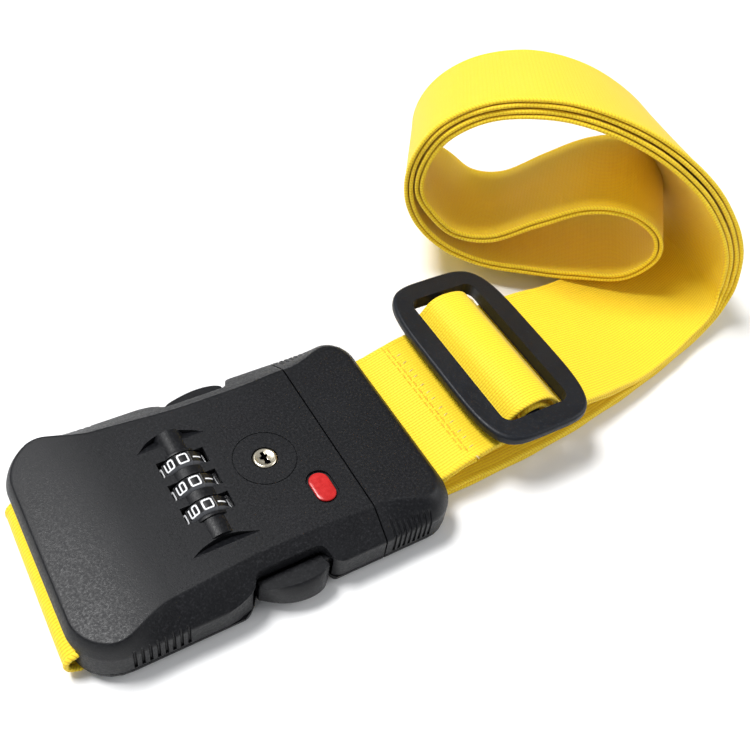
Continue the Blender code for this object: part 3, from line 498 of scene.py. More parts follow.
def pair_centre(steps):
    """Stations of the pair of plies, from the slider round the coil to the buckle's middle."""
    outer = spline(OUTER_COIL + LOWER_RUN, 4)
    placed = frames(outer)
    shared = []
    for control in range(SHARED_LAST, SHARED_FIRST - 1, -1):
        i = control * 4
        near = placed[i][0] + placed[i][2] * PASS_PITCH
        shared.append((near.x, near.y, near.z, outer[i][3], outer[i][4]))
    return spline(UPPER_RUN + shared + SMALL_LOOP + OUTER_COIL + LOWER_RUN, steps)


def flat_path(points, middle_y):
    """Path that runs along x, with the width along y."""
    return [(Vector((x, middle_y - WIDTH / 2, z)), Vector((0, 1, 0))) for x, z in points]


def evenly(placed, step):
    """Resamples (near, way) pairs along a smooth curve, step apart."""
    rows = [Vector((*near, *way)) for near, way in placed]
    dense = spline([tuple(r) for r in rows], 6)
    lengths = [0.0]
    for a, b in zip(dense, dense[1:]):
        middle_a = Vector(a[:3]) + Vector(a[3:6]) * WIDTH / 2
        middle_b = Vector(b[:3]) + Vector(b[3:6]) * WIDTH / 2
        lengths.append(lengths[-1] + (middle_b - middle_a).length)
    count = max(2, round(lengths[-1] / step))
    result, k = [], 0
    for i in range(count + 1):
        target = lengths[-1] * i / count
        while k < len(dense) - 2 and lengths[k + 1] < target:
            k += 1
        share = (target - lengths[k]) / max(lengths[k + 1] - lengths[k], 1e-9)
        row = dense[k].lerp(dense[k + 1], min(max(share, 0.0), 1.0))
        result.append((Vector(row[:3]), Vector(row[3:6]).normalized()))
    return result, lengths[-1]


def section(thickness):
    """Half outline of one ply: (across, out) with a fuller cord along each edge."""
    t = thickness / 2
    top = [(0.0, 0.0), (0.12, 0.5 * t), (0.45, 0.92 * t), (0.95, 1.0 * t), (1.45, 0.9 * t), (1.8, 0.74 * t),
           (2.4, 0.8 * t), (8.0, 0.84 * t), (16.0, 0.84 * t), (25.0, 0.84 * t)]
    full = top + [(WIDTH - a, b) for a, b in reversed(top[:-1])]
    return full + [(a, -b) for a, b in reversed(full[1:-1])]


def ribbon(name, placed, paint, thickness=PLY, step=1.3, moved=None, wave=0.0):
    """One ply of webbing as a closed sheet, with lengths along and across it for the weave."""
    placed, length = evenly(placed, step)
    outline = section(thickness)
    bm = bmesh.new()
    layer = bm.loops.layers.uv.new("weave")
    rows = []
    for i, (near, way) in enumerate(placed):
        ahead, behind = placed[min(i + 1, len(placed) - 1)], placed[max(i - 1, 0)]
        along = (ahead[0] + ahead[1] * WIDTH / 2) - (behind[0] + behind[1] * WIDTH / 2)
        normal = way.cross(along).normalized()
        # real edges wander by a tenth of a millimetre
        drift = 0.12 * math.sin(i * 0.37 + wave) + 0.08 * math.sin(i * 0.113 + 2 * wave)
        row = []
        for a, b in outline:
            share = 1 - 2 * a / WIDTH
            row.append(bm.verts.new(near + way * (a + drift * share * (abs(share) > 0.9)) + normal * b))
        rows.append(row)
    count = len(outline)
    for i, (one, two) in enumerate(zip(rows, rows[1:])):
        for k in range(count):
            j = (k + 1) % count
            face = bm.faces.new((one[k], one[j], two[j], two[k]))
            a0, a1 = outline[k][0] / WIDTH, outline[j][0] / WIDTH
            v0, v1 = length * i / (len(rows) - 1) / WIDTH, length * (i + 1) / (len(rows) - 1) / WIDTH
            for loop, uv in zip(face.loops, ((a0, v0), (a1, v0), (a1, v1), (a0, v1))):
                loop[layer].uv = uv
    for row, flip, v in ((rows[0], True, 0.0), (rows[-1], False, length / WIDTH)):
        face = bm.faces.new(list(reversed(row)) if flip else row)
        for loop in face.loops:
            loop[layer].uv = (row.index(loop.vert) / count, v)
    made = finish(name, bm, paint, 60.0, moved)
    return made, length


def slider_place():
    """Where the slider lies, as a matrix in millimetres."""
    return Matrix.Translation((SLIDER_X, SLIDER_Y, 0)) @ Matrix.Rotation(SLIDER_YAW, 4, "Z")


def webbing(paint):
    """The whole strap as one ribbon, then the two pieces of webbing that the slider carries."""
    centre = frames(pair_centre(8))
    over = [(near - normal * PLY_STEP, way) for near, way, normal in centre]
    under = [(near + normal * PLY_STEP, way) for near, way, normal in centre]
    tail = [(66.6, 12.1), (64.0, 11.75), (60.0, 10.5), (56.0, 8.9), (52.0, 6.9), (47.6, 6.0)]
    tail += arc((45.2, 8.5), 2.45, 264, 96, 8)
    tail += [(47.6, 10.95), (52.0, 10.9), (56.0, 11.2), (60.0, 12.4), (64.0, 13.55)]
    fold = [(-1.5, 0.72), (-15, 0.75), (-30, 0.75), (-45, 0.75), (-51.5, 0.75)]
    fold += arc((-52.0, 4.4), 3.65, 262, 98, 10)
    fold += [(-50.0, 8.0), (-48.2, 7.0), (-47.2, 5.4), (-46.0, 3.6), (-43.6, 2.45), (-30, 2.42), (-15, 2.42)]
    fold += [(-1.5, 2.42)]
    # the webbing turns a little as it leaves the end cap
    loop = []
    for near, way in flat_path(tail, 0.0):
        loop.append((near + Vector((0, 0.03 * max(0.0, near.x - 50.0), 0)), way))
    loose = []
    for near, way in flat_path(fold, 0.0):
        # the fold hangs a little loose round the bar, more so at its near end
        slack = rise(-46.0, -52.0, near.x)
        turned = (way + Vector((0.012 * slack, 0, 0))).normalized()
        loose.append((near + Vector((-0.6 * slack, -3.5 * slack, 0.0)), turned))
    path = loop + over + loose + list(reversed(under))
    strap, length = ribbon("webbing", path, paint)
    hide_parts(*[n for n in NODES if n.startswith("webbing_") and n not in
                         ("webbing_grip", "webbing_slider_loop")])
    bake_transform(strap)

    grip = [(-10.9, 15.5), (-9.0, 17.2), (-6.3, 20.5), (-3.3, 22.0), (0, 22.4), (3.3, 22.0),
            (6.3, 20.5), (9.0, 17.2), (10.9, 15.5)]
    ring = [(7.1, 15.6), (5.1, 17.3), (2.8, 18.7), (0, 19.1), (-2.7, 18.5), (-3.9, 16.8), (-3.1, 15.2)]
    ring += [(-0.1, 14.85), (3.9, 14.7)]
    for name, points, node, thick in (("grip_webbing", grip, "webbing_grip", PLY),
                                      ("slider_loop_webbing", ring, "webbing_slider_loop", PLY - 0.2)):
        made, run = ribbon(name, flat_path(points, -0.8), paint, thick, step=0.9, moved=slider_place(),
                           wave=1.0)
        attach(made, "slider")
        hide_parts(node)
    return strap


def add_thread(bm, start, end, radius):
    """One stitch: a short rounded thread whose ends dive into the cloth."""
    start, end = Vector(start), Vector(end)
    along = (end - start).normalized()
    side = along.cross(Vector((0, 0, 1))).normalized()
    rings = []
    for t in (0.0, 0.12, 0.3, 0.5, 0.7, 0.88, 1.0):
        swell = math.sin(math.pi * min(max(t, 0.04), 0.96))
        middle = start.lerp(end, t) + Vector((0, 0, radius * 1.3 * (swell ** 0.6 - 0.6)))
        r = radius * (0.45 + 0.55 * swell ** 0.5)
        rings.append([middle + side * r * math.cos(turn) + Vector((0, 0, r * math.sin(turn)))
                      for turn in (k * math.pi / 4 for k in range(8))])
    add_stack(bm, rings)


def stitching(strap, thread, clear):
    """The seam that joins the end of the webbing beside the slider, with its clear tail."""
    tree = BVHTree.FromObject(strap, bpy.context.evaluated_depsgraph_get())

    def on(x, y, lift=0.0):
        """Place on the webbing's upper face."""
        hit = tree.ray_cast(Vector((x, y, 60)) * MM, Vector((0, 0, -1)))[0]
        return Vector((x, y, (hit.z / MM if hit else 14.0) + lift))

    seam, clears = bmesh.new(), bmesh.new()
    slant = 0.012
    for i in range(15):
        y = -21.6 + i * 3.05
        x = 64.6 - slant * y
        add_thread(seam, on(x, y, 0.05), on(x - 0.03, y + 2.35, 0.05), 0.24)
        add_thread(seam, on(x - 1.2, y + 1.2, 0.05), on(x - 1.23, y + 3.4, 0.05), 0.2)
    for i in range(13):
        y = -20.6 + i * 3.3 + 0.4 * math.sin(i * 2.3)
        x = 65.7 - slant * y
        add_thread(clears, on(x, y), on(x + 1.5, y + 0.25), 0.16)
    add_thread(clears, on(66.0, -24.0), on(66.6, -25.0), 0.3)
    for name, bm, paint in (("seam_thread", seam, thread), ("clear_thread", clears, clear)):
        made = finish(name, bm, paint, 60.0)
        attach(made, "strap")


# ------------------------------------------------------------------ buckle shells

def waist_share(x):
    """The waist fades out at the rounded ends."""
    left = 0.7 * rise(-46, -28, x) + 0.3 * rise(-34, 0, x)
    return left - 0.12 * rise(14, 31, x) - 0.88 * rise(31, 50, x)


# height, end inset, waist
PROFILE = [
    (3.6, 0.5, 0.0), (3.72, 0.22, 0.0), (3.95, 0.05, 0.0), (4.3, 0.0, 0.0), (7.0, 0.0, 0.0), (10.0, 0.0, 0.0),
    (10.4, 0.05, 0.02), (10.7, 0.12, 0.08), (11.0, 0.22, 0.26), (11.4, 0.35, 0.6), (12.5, 0.75, 1.9),
    (13.5, 1.2, 3.05), (14.5, 1.75, 4.0), (15.3, 2.35, 4.6), (15.9, 2.85, 5.15), (16.3, 3.3, 5.3),
    (16.5, 3.6, 5.3), (16.6, 3.9, 5.2), (16.66, 4.3, 5.0), (16.69, 4.8, 4.75), (16.7, 5.4, 4.4),
]


def half_outline(seam_x, end_x, inset, waist, radius):
    """Plan outline of one buckle half, from the far end of the seam to its near end."""
    way = 1 if end_x > seam_x else -1
    half = HALF_WIDTH - inset
    corner_x = end_x - way * (inset + radius)
    far = [(seam_x + (corner_x - seam_x) * i / 30, half) for i in range(31)]
    far += [(corner_x + way * x, half - radius + y) for x, y in arc((0, 0), radius, 90, 0, 20)[1:]]
    far = [(x, y * (1 - waist * waist_share(x) / half)) for x, y in far]
    return far + [(x, -y) for x, y in reversed(far)]


def level(end_x, z, inset, waist):
    """The lock half's end is rounded more tightly than the cap's."""
    if end_x > 0 or z <= WALL_TOP_Z:
        return inset, waist
    return 0.42 * inset, waist + 0.58 * inset


def corner_radius(end_x, z, inset):
    """Plan radius of a half's outer corners."""
    if end_x > 0:
        return CORNER - 0.4 * inset
    return LOW_CORNER + (LEFT_CORNER - LOW_CORNER) * rise(4, 11, z) - 0.5 * inset


def dip(x):
    """Share of the height above the walls that is lost at x."""
    return DIP * max(0.0, (DIP_X - x) / (END_X + DIP_X)) ** 2 / (TOP_Z - WALL_TOP_Z)


def wall_y(x, z):
    """How far out the shell's side stands at one place."""
    z = WALL_TOP_Z + (z - WALL_TOP_Z) / (1 - dip(x)) if z > WALL_TOP_Z else z
    for (z0, e0, w0), (z1, e1, w1) in zip(PROFILE, PROFILE[1:]):
        if z <= z1:
            break
    t = max(0.0, (z - z0) / (z1 - z0))
    inset, waist = e0 + (e1 - e0) * t, w0 + (w1 - w0) * t
    end_x = END_X if x > SEAM_X else -END_X
    inset, waist = level(end_x, z, inset, waist)
    radius, half = corner_radius(end_x, z, inset), HALF_WIDTH - inset
    past = abs(x) - (END_X - inset - radius)
    y = half - radius + math.sqrt(max(0.0, radius ** 2 - past ** 2)) if past > 0 else half
    return y * (1 - waist * waist_share(x) / half)


def shell(name, seam_x, end_x, paint):
    """Solid outer form of one buckle half."""
    bm = bmesh.new()
    rings = []
    for z, inset, waist in PROFILE:
        inset, waist = level(end_x, z, inset, waist)
        radius = corner_radius(end_x, z, inset)
        rings.append([(x, y, z - dip(x) * max(0.0, z - WALL_TOP_Z))
                      for x, y in half_outline(seam_x, end_x, inset, waist, radius)])
    add_stack(bm, rings)
    # the top is one flat face, closed crosswise where it dips
    bm.faces.ensure_lookup_table()
    top = list(bm.faces[-1].verts)
    bm.faces.remove(bm.faces[-1])
    flat = sum(v.co.x > DIP_X - 0.5 for v in top) // 2 - 1
    bm.faces.new(top[:flat + 1] + top[-1 - flat:])
    for i in range(flat, len(top) // 2 - 1):
        bm.faces.new((top[i], top[i + 1], top[-2 - i], top[-1 - i]))
    return finish(name, bm, paint)


def side_grooves(bm, first_x, pitch, count, high_z):
    """Finger grooves that run up each side wall and fade out on the rounding above it."""
    radius = 0.46
    for side in (1, -1):
        for i in range(count):
            x = first_x + i * pitch
            rings = []
            for z in (4.5, 7.0, 10.2, 11.0, 11.8, 12.6, 13.4, 14.2, 15.0):
                if z > high_z:
                    break
                out = -0.08 + 0.75 * max(0.0, (z - high_z + 1.6) / 1.6)
                rings.append([(x + radius * math.cos(k * math.pi / 6), side * (wall_y(x, z) + out)
                               + 1.2 * radius * math.sin(k * math.pi / 6), z) for k in range(12)])
            add_stack(bm, rings)


def notch_points(side):
    """Plan of the notch round a release button, with flared flanks."""
    points = [(-19.0, HALF_WIDTH + 4), (-17.6, HALF_WIDTH + 0.2), (-15.8, HALF_WIDTH - 0.2), (-13.6, 35.1),
              (-11.4, 34.5), (-9.6, 33.8)]
    points += arc((-5.1, 32.8), 2.8, 195, 270, 10)
    points += arc((10.4, 32.8), 2.8, 270, 345, 10)
    points += [(13.9, 34.0), (14.8, 34.9), (16.0, 35.35), (17.6, HALF_WIDTH + 0.1), (19.0, HALF_WIDTH + 4)]
    return [(x, side * y) for x, y in points]


def ramp_pocket(bm, plan, depth):
    """Lens shaped pocket: a steep curved wall, and a floor that rises to the straight edge."""
    chord_y = plan[0][1]
    plan = smooth_plan(plan, 6)
    reach = max(abs(y - chord_y) for x, y in plan)
    low = [(x, y, TOP_Z + 0.02 - depth * rise(0.0, 1.0, abs(y - chord_y) / reach)) for x, y in plan]
    add_stack(bm, [low, at_height(plan, TOP_Z + 3)])


def prism(bm, points, low, high):
    """Upright solid with the given plan."""
    add_stack(bm, [at_height(points, low), at_height(points, high)])


def lock_cover(paint):
    """Lock half's shell: axle ridges, pockets, dial slots, key bore and badge recess, hollow below."""
    cover = shell("lock_top", SEAM_X - SEAM_GAP / 2, -END_X, paint)

    def ridges(tool):
        add_cylinder(tool, 6.3, (DIAL_X, -11.7, DIAL_Z), (DIAL_X, 11.7, DIAL_Z), 96)
        add_cylinder(tool, 4.8, (DIAL_X, -17.6, 12.85), (DIAL_X, -11.6, 12.85), 96)
        add_cylinder(tool, 4.8, (DIAL_X, 11.6, 12.85), (DIAL_X, 19.6, 12.85), 96)

    def scoops(tool):
        ramp_pocket(tool, [(-22.6, 15.3), (-20.2, 15.9), (-16.6, 18.6), (-12.1, 19.9), (-8, 19.3),
                           (-4.2, 17.7), (-0.4, 15.3)], 2.0)
        ramp_pocket(tool, [(-20.6, -20.9), (-19.2, -20.3), (-16.4, -18.9), (-11.2, -17.8), (-7.1, -18.2),
                           (-3.6, -19.5), (-0.3, -20.9)], 1.8)

    def windows(tool):
        half_x, half_y = 6.8, 2.65
        for i in (-1, 0, 1):
            add_box(tool, (DIAL_X - half_x, i * DIAL_PITCH - half_y, CEILING_Z - 6),
                    (DIAL_X + half_x, i * DIAL_PITCH + half_y, TOP_Z + 4))

    def openings(tool):
        # for the tongue, the folded webbing and the key
        add_box(tool, (20.0, -20.0, 6.2), (SEAM_X + 1, 20.0, 10.2))
        add_box(tool, (-END_X - 1, -27.4, COVER_Z - 1), (-44.4, 27.4, 9.6))
        add_cylinder(tool, 3.7, (KEY_X, 0, CEILING_Z - 2), (KEY_X, 0, TOP_Z + 1), 72)

    def cavity(tool):
        add_box(tool, (CAVITY_START_X, -25.6, COVER_Z - 1), (CAVITY_END_X, 25.6, SIDE_CEILING_Z))

    def middle_cavity(tool):
        add_box(tool, (CAVITY_START_X, -13.2, 11.8), (CAVITY_END_X, 13.2, CEILING_Z))

    def axle_seats(tool):
        for low, high in mirrored((DIAL_X - 3.2, 12.6, 11.8), (DIAL_X + 3.2, 17.4, 14.3)):
            add_box(tool, low, high)

    def plate_seat(tool):
        add_box(tool, (CAVITY_START_X, -PLATE_Y, COVER_Z - 1), (CAVITY_END_X, PLATE_Y, 4.9))

    def arm_channels(tool):
        for low, high in mirrored((-9.0, 25.0, COVER_Z - 1), (SEAM_X + 1, ARM_Y, ARM_TOP_Z)):
            add_box(tool, low, high)

    def notches(tool):
        for side in (1, -1):
            prism(tool, notch_points(side), COVER_Z - 1, TOP_Z + 1)

    def key_circle(tool):
        groove = ((-0.22, 0.3), (-0.05, -0.3), (0.05, -0.3), (0.22, 0.3))
        rings = [circle(KEY_X, FACE_RADIUS + out, TOP_Z + up, 120) for out, up in groove]
        add_stack(tool, rings, capped=False)

    def emblem_recess(tool):
        plan = [(x + BADGE_X, y + BADGE_Y) for x, y in rounded_rectangle(3.7, 5.6, 3.6, 10)]
        prism(tool, plan, TOP_Z - 0.8, TOP_Z + 1)

    cut(cover, scoops)
    cut(cover, ridges, "UNION")
    for build in (cavity, middle_cavity, axle_seats, plate_seat, arm_channels, notches, windows, openings,
                  emblem_recess, key_circle):
        cut(cover, build)
    cut(cover, lambda tool: side_grooves(tool, -41.4, 2.0, 8, 12.2))
    soften(cover, 0.18)
    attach(cover, "lock_half")
    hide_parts("lock_cover")


def end_cap(paint):
    """End cap's shell, hollow below."""
    cap = shell("end_cap_top", SEAM_X + SEAM_GAP / 2, END_X, paint)

    def cavities(tool):
        add_box(tool, (SEAM_X - 1, -PLATE_Y, COVER_Z - 1), (END_X + 1, PLATE_Y, 12.2))
        for low, high in mirrored((SEAM_X - 1, 25.6, COVER_Z - 1), (41.4, ARM_Y, ARM_TOP_Z)):
            add_box(tool, low, high)

    cut(cap, cavities)
    cut(cap, lambda tool: side_grooves(tool, 32.4, 1.62, 8, 14.4))
    soften(cap, 0.18)
    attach(cap, "strap")
    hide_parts("end_cap_cover")


def release_button(name, node, body, side, paint):
    """Arm with its D shaped button: a flat grained top, a crisp edge and a wall that stands out below."""
    bm = bmesh.new()
    rings = []
    inner_y = 30.4
    profile = ((3.7, 3.75, 0.25), (3.9, 3.8, 0.0), (7.0, 3.45, 0.0), (9.0, 2.7, 0.0), (9.75, 2.3, 0.05),
               (10.05, 2.0, 0.2), (10.2, 1.8, 0.45))
    for z, bulge, inset in profile:
        curve = [(-7.0 + inset, 32.0), (-6.8 + inset, 32.5), (-4.6, 34.1)]
        curve += [(x, 34.0 + bulge * y) for x, y in ((-1.2, 0.6), (2.9, 0.95), (6.9, 1.0), (10.2, 0.75))]
        curve += [(12.7 - inset, 34.3), (12.6 - inset, 33.0), (12.4 - inset, 32.0)]
        outline = [(-7.0 + inset, inner_y + inset), *smooth_plan(curve, 5), (12.2 - inset, inner_y + inset)]
        rings.append([(x, side * y, z) for x, y in outline])
    add_stack(bm, rings)
    arm = finish(name, bm, paint)
    # the arm itself, then its root in the end cap
    for box in (((8.0, inner_y, 5.0), (38.0, 32.4, 9.8)), ((35.5, 27.2, 5.0), (40.8, 33.3, 10.2))):
        far, near = mirrored(*box)
        cut(arm, lambda tool: add_box(tool, *(far if side > 0 else near)), "UNION")
    soften(arm, 0.12, 2, 40.0)
    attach(arm, body)
    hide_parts(node)


# ------------------------------------------------------------------ dials, key and badge

def rounded(corners, radius=0.45, closed=True):
    """Polyline with its corners rounded off."""
    result = []
    count = len(corners)
    for i, corner in enumerate(corners):
        corner = Vector(corner)
        if not closed and i in (0, count - 1):
            result.append(tuple(corner))
            continue
        back, ahead = Vector(corners[i - 1]) - corner, Vector(corners[(i + 1) % count]) - corner
        reach = min(radius, back.length / 2.1, ahead.length / 2.1)
        a, b = corner + back.normalized() * reach, corner + ahead.normalized() * reach
        for t in (0.0, 0.3, 0.7, 1.0):
            result.append(tuple(a * (1 - t) ** 2 + corner * 2 * t * (1 - t) + b * t * t))
    return result


# Digits as strokes, W half their width and H half their height, then stretched to stand along the rim
W, H = 0.98, 1.58
DIGIT_STRETCH = (1.42, 0.84)
SIX = [(W, H), (-W, H), (-W, -H), (W, -H), (W, 0.1), (-W + 0.1, 0.1)]
DIGITS = {
    0: [(rounded([(-W, -H), (W, -H), (W, H), (-W, H)]), True)],
    1: [([(0.1, H), (0.1, -H)], False)],
    2: [(rounded([(-W, H), (W, H), (W, 0.2), (-W, -H), (W, -H)], closed=False), False)],
    3: [(rounded([(-W, H), (W, H), (W, -H), (-W, -H)], closed=False), False),
        ([(-0.4, 0), (W - 0.1, 0)], False)],
    4: [(rounded([(0.5, -H), (0.5, H), (-W, -0.6), (W, -0.6)], 0.05, False), False)],
    5: [(rounded([(W, H), (-W, H), (-W, 0.15), (W, 0.15), (W, -H), (-W, -H)], closed=False), False)],
    6: [(rounded(SIX, closed=False), False)],
    7: [(rounded([(-W, H), (W, H), (-0.1, -H)], 0.1, False), False)],
    8: [(rounded([(-W, -H), (W, -H), (W, H), (-W, H)]), True),
        ([(-W + 0.1, 0.05), (W - 0.1, 0.05)], False)],
    9: [(rounded([(-x, -y) for x, y in SIX], closed=False), False)],
}


def finely(path, closed):
    """Splits long strokes, so that they can follow the rim's curve."""
    result = []
    for i, (x, y) in enumerate(path):
        result.append((x, y))
        if i < len(path) - 1 or closed:
            next_x, next_y = path[(i + 1) % len(path)]
            steps = 1 + int(math.hypot(next_x - x, next_y - y) / 0.5)
            result += [(x + (next_x - x) * k / steps, y + (next_y - y) * k / steps) for k in range(1, steps)]
    return result


def dial_wheel(index, y, paint, rim_paint):
    """Wheel with ten shallow flats and a fine rib between them; its near rim is paler."""
    half, sides, bore, flat_drop, rib_share = DIAL_WIDTH / 2, 120, 3.0, 0.2, 0.03
    profile = [(-half, bore), (-half, DIAL_RADIUS - 0.95), (-half + 0.15, DIAL_RADIUS - 0.65),
               (-half + 0.75, DIAL_RADIUS), (half - 0.5, DIAL_RADIUS), (half - 0.12, DIAL_RADIUS - 0.36),
               (half, DIAL_RADIUS - 0.55), (half, bore)]
    bm = bmesh.new()
    rings = []
    for offset, full in profile:
        ring = []
        for i in range(sides):
            angle = 2 * math.pi * i / sides
            place = (math.degrees(angle) - 90 + 18) % 36 / 36
            on_flat = full > bore and min(place, 1 - place) >= rib_share
            radius = full - flat_drop if on_flat else full
            ring.append((DIAL_X + radius * math.cos(angle), y + offset, DIAL_Z + radius * math.sin(angle)))
        rings.append(ring)
    add_stack(bm, rings, capped=False)
    wheel = finish("dial_wheel_%d" % index, bm, paint, 30.0)
    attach(wheel, "dial_wheel_%d" % index)
    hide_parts("dial_%d" % index)
    wheel.data.materials.append(rim_paint)
    for face in wheel.data.polygons:
        if y - half + 0.02 < face.center.y / MM < y - half + 0.6:
            face.material_index = 1


def add_stroke(bm, path, closed, y, turned):
    """One printed stroke, laid round the rim of the wheel at y and turned by an angle."""
    half_stroke, foot, crown = 0.25, DIAL_RADIUS - 0.34, DIAL_RADIUS - 0.12
    rows = []
    count = len(path)
    for i, (px, py) in enumerate(path):
        back = path[i - 1] if i or closed else path[0]
        ahead = path[(i + 1) % count] if i < count - 1 or closed else path[-1]
        way = Vector((ahead[0] - back[0], ahead[1] - back[1])).normalized()
        one = Vector((px - back[0], py - back[1]))
        mitre = 1.0 if one.length < 1e-6 else 1 / max(0.7, abs(one.normalized().dot(way)))
        side = Vector((-way.y, way.x)) * half_stroke * mitre
        row = []
        for sign, radius in ((1, foot), (-1, foot), (-0.9, crown), (0.9, crown)):
            at = Vector((px, py)) + side * sign
            angle = turned - at.y / DIAL_RADIUS
            x, z = DIAL_X + radius * math.cos(angle), DIAL_Z + radius * math.sin(angle)
            row.append(bm.verts.new((x, y - at.x, z)))
        rows.append(row)
    pairs = list(zip(rows, rows[1:])) + ([(rows[-1], rows[0])] if closed else [])
    for a, b in pairs:
        for i in range(4):
            j = (i + 1) % 4
            bm.faces.new((a[i], a[j], b[j], b[i]))
    if not closed:
        bm.faces.new(rows[0])
        bm.faces.new(list(reversed(rows[-1])))


def dial_digits(index, y, paint):
    """The ten digits of one wheel, read from the lock half's end."""
    bm = bmesh.new()
    for number in range(10):
        for path, closed in DIGITS[number]:
            path = finely([(px * DIGIT_STRETCH[0], py * DIGIT_STRETCH[1]) for px, py in path], closed)
            add_stroke(bm, path, closed, y, math.radians(90 - 36 * number))
    digits = finish("dial_digits_%d" % index, bm, paint, 30.0)
    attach(digits, "dial_wheel_%d" % index)


def slot_end_highlights(paint):
    """Pale strip at one end of each slot: a painted highlight where the slot's end wall catches the light."""
    bm = bmesh.new()
    for i in (-1, 0, 1):
        y = i * DIAL_PITCH
        # pale boxes at the slot ends stand for the light on the end wall: painted highlight
        add_box(bm, (DIAL_X - 7.0, y - 2.5, 13.8), (DIAL_X - 6.7, y + 2.5, 15.75), 0.1)
        add_box(bm, (DIAL_X - 6.8, y - 2.5, 14.7), (DIAL_X - 6.35, y - 1.9, 15.4), 0.08)
    made = finish("slot_end_highlights", bm, paint)
    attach(made, "lock_half")


def key_plug(paint, dark):
    """Domed plug face with a warded keyway."""
    bm = bmesh.new()
    profile = ((3.4, 8.4), (3.4, 16.3), (3.3, 16.6), (3.1, 16.82), (2.8, 16.9), (2.55, 16.86), (2.3, 16.72),
               (2.0, 16.62), (1.2, 16.6))
    add_stack(bm, [circle(KEY_X, radius, z, 72) for radius, z in profile])
    plug = finish("plug_face", bm, paint)

    def keyway(tool):
        path = [(-0.35, -2.2), (0.85, -2.3), (1.0, -1.3), (0.45, -0.9), (0.5, 0.1), (1.2, 0.35), (1.15, 1.0),
                (0.45, 1.1), (0.5, 2.2), (-0.55, 2.2), (-0.6, 1.0), (-1.35, 0.75), (-1.3, -0.1),
                (-0.55, -0.35), (-0.6, -1.3), (-0.95, -1.6)]
        prism(tool, [(KEY_X + x, y) for x, y in path], 12.5, 18.0)

    cut(plug, keyway)
    soften(plug, 0.06)
    # the keyway's walls and floor get the black paint: painted shade inside the keyway
    plug.data.materials.append(dark)
    for face in plug.data.polygons:
        out = math.hypot(face.center.x / MM - KEY_X, face.center.y / MM)
        if face.center.z / MM < 16.35 and out < 3.0:
            face.material_index = 1
    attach(plug, "key_cylinder")
    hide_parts("key_plug")


def badge(paint):
    """Plain raised inlay in the recess beside the key."""
    bm = bmesh.new()
    rings = []
    for inset, z in ((0.0, TOP_Z - 0.5), (0.0, TOP_Z - 0.2), (0.12, TOP_Z - 0.02), (0.4, TOP_Z + 0.1),
                     (0.9, TOP_Z + 0.16), (1.8, TOP_Z + 0.2)):
        points = rounded_rectangle(2.9 - inset, 4.8 - inset, 2.8 - inset, 10)
        rings.append(at_height([(x + BADGE_X, y + BADGE_Y) for x, y in points], z))
    add_stack(bm, rings)
    made = finish("badge", bm, paint)
    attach(made, "lock_half")
    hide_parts("emblem_inlay")


# ------------------------------------------------------------------ slider

def slider_outline(half_x, half_y):
    """Barrel like outline of the frame: a superellipse."""
    power, count = 4.4, 128
    points = []
    for i in range(count):
        angle = 2 * math.pi * i / count
        c, s = math.cos(angle), math.sin(angle)
        points.append((half_x * math.copysign(abs(c) ** (2 / power), c),
                       half_y * math.copysign(abs(s) ** (2 / power), s)))
    return points


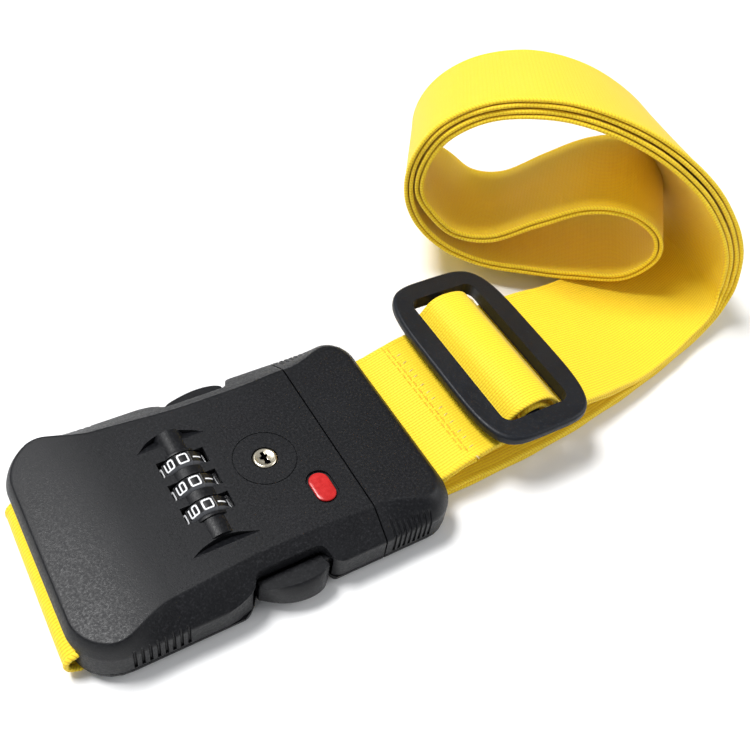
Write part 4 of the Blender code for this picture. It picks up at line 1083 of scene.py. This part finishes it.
def slider(paint):
    """Frame in two moulded layers with a centre bar."""
    bottom, top, half_x, half_y = 16.0, 20.5, 19.4, 34.9
    bm = bmesh.new()
    rings = []
    for z, inset in ((bottom, 1.5), (bottom + 0.25, 1.05), (bottom + 0.7, 0.8), (bottom + 1.35, 0.75),
                     (bottom + 1.5, 1.05), (bottom + 1.75, 1.1), (bottom + 1.9, 0.2), (bottom + 2.2, 0.0),
                     (top - 1.2, 0.0), (top - 0.7, 0.1), (top - 0.35, 0.32), (top - 0.12, 0.65), (top, 1.1)):
        rings.append(at_height(slider_outline(half_x - inset, half_y - inset), z))
    add_stack(bm, rings)
    made = finish("slider", bm, paint, placed=slider_place())

    def window(tool):
        prism(tool, rounded_rectangle(11.9, 27.5, 3.4, 10), bottom - 1, top + 1)

    def bar(tool):
        add_box(tool, (-2.6, -29.0, bottom), (2.6, 29.0, 17.6), 0.5)

    cut(made, window, placed=slider_place())
    cut(made, bar, "UNION", placed=slider_place())
    soften(made, 0.3, 3)
    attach(made, "slider")
    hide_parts("slider_frame")


# ------------------------------------------------------------------ assembly

def main():
    """Builds every visible piece and paints the CAD nodes that stay visible."""
    camera()
    studio()
    case = moulded("case_plastic", (0.004, 0.0043, 0.0056), (0.032, 0.032, 0.038), 0.45)
    slider_paint = moulded("slider_plastic", (0.006, 0.0075, 0.011), (0.038, 0.042, 0.052), 0.45)
    web = woven("webbing_weave", (1.0, 0.76, 0.024), (0.74, 0.36, 0.002))
    thread = gloss("yellow_thread", (0.78, 0.46, 0.01), 0.5)
    clear = gloss("clear_thread", (0.7, 0.55, 0.22), 0.25)
    nickel = metal("nickel_plate", (0.9, 0.82, 0.64), 0.25)
    steel = metal("steel", (0.6, 0.6, 0.62), 0.3)
    brass = metal("brass", (0.72, 0.55, 0.25), 0.3)
    black = gloss("dial_black", (0.005, 0.005, 0.006), 0.33)
    white = gloss("digit_white", (0.85, 0.86, 0.88), 0.35)
    rim = moulded("dial_rim", (0.1, 0.103, 0.112), (0.16, 0.16, 0.17), 0.35)
    red = gloss("badge_red", (0.48, 0.015, 0.015), 0.25)

    strap = webbing(web)
    stitching(strap, thread, clear)
    slot_end_highlights(rim)
    lock_cover(case)
    end_cap(case)
    release_button("release_button_far", "release_arm_far", "arm_far", 1, case)
    release_button("release_button_near", "release_arm_near", "arm_near", -1, case)
    for index in (1, 2, 3):
        y = (2 - index) * DIAL_PITCH
        dial_wheel(index, y, black, rim)
        dial_digits(index, y, white)
    key_plug(nickel, black)
    badge(red)
    slider(slider_paint)

    paints = {"case": case, "dial": black, "steel": steel, "brass": brass, "nickel": nickel,
              "slider": slider_paint, "webbing": web, "emblem": red}
    slots = {s["node"]: s["material_slot"] for s in frame["record"]["subparts"]}
    for name, node in NODES.items():
        if not node.hide_render:
            node.data.materials.clear()
            node.data.materials.append(paints[slots[name]])


main()
bpy.context.scene.view_settings.view_transform = "Standard"
bpy.context.view_layer.update()
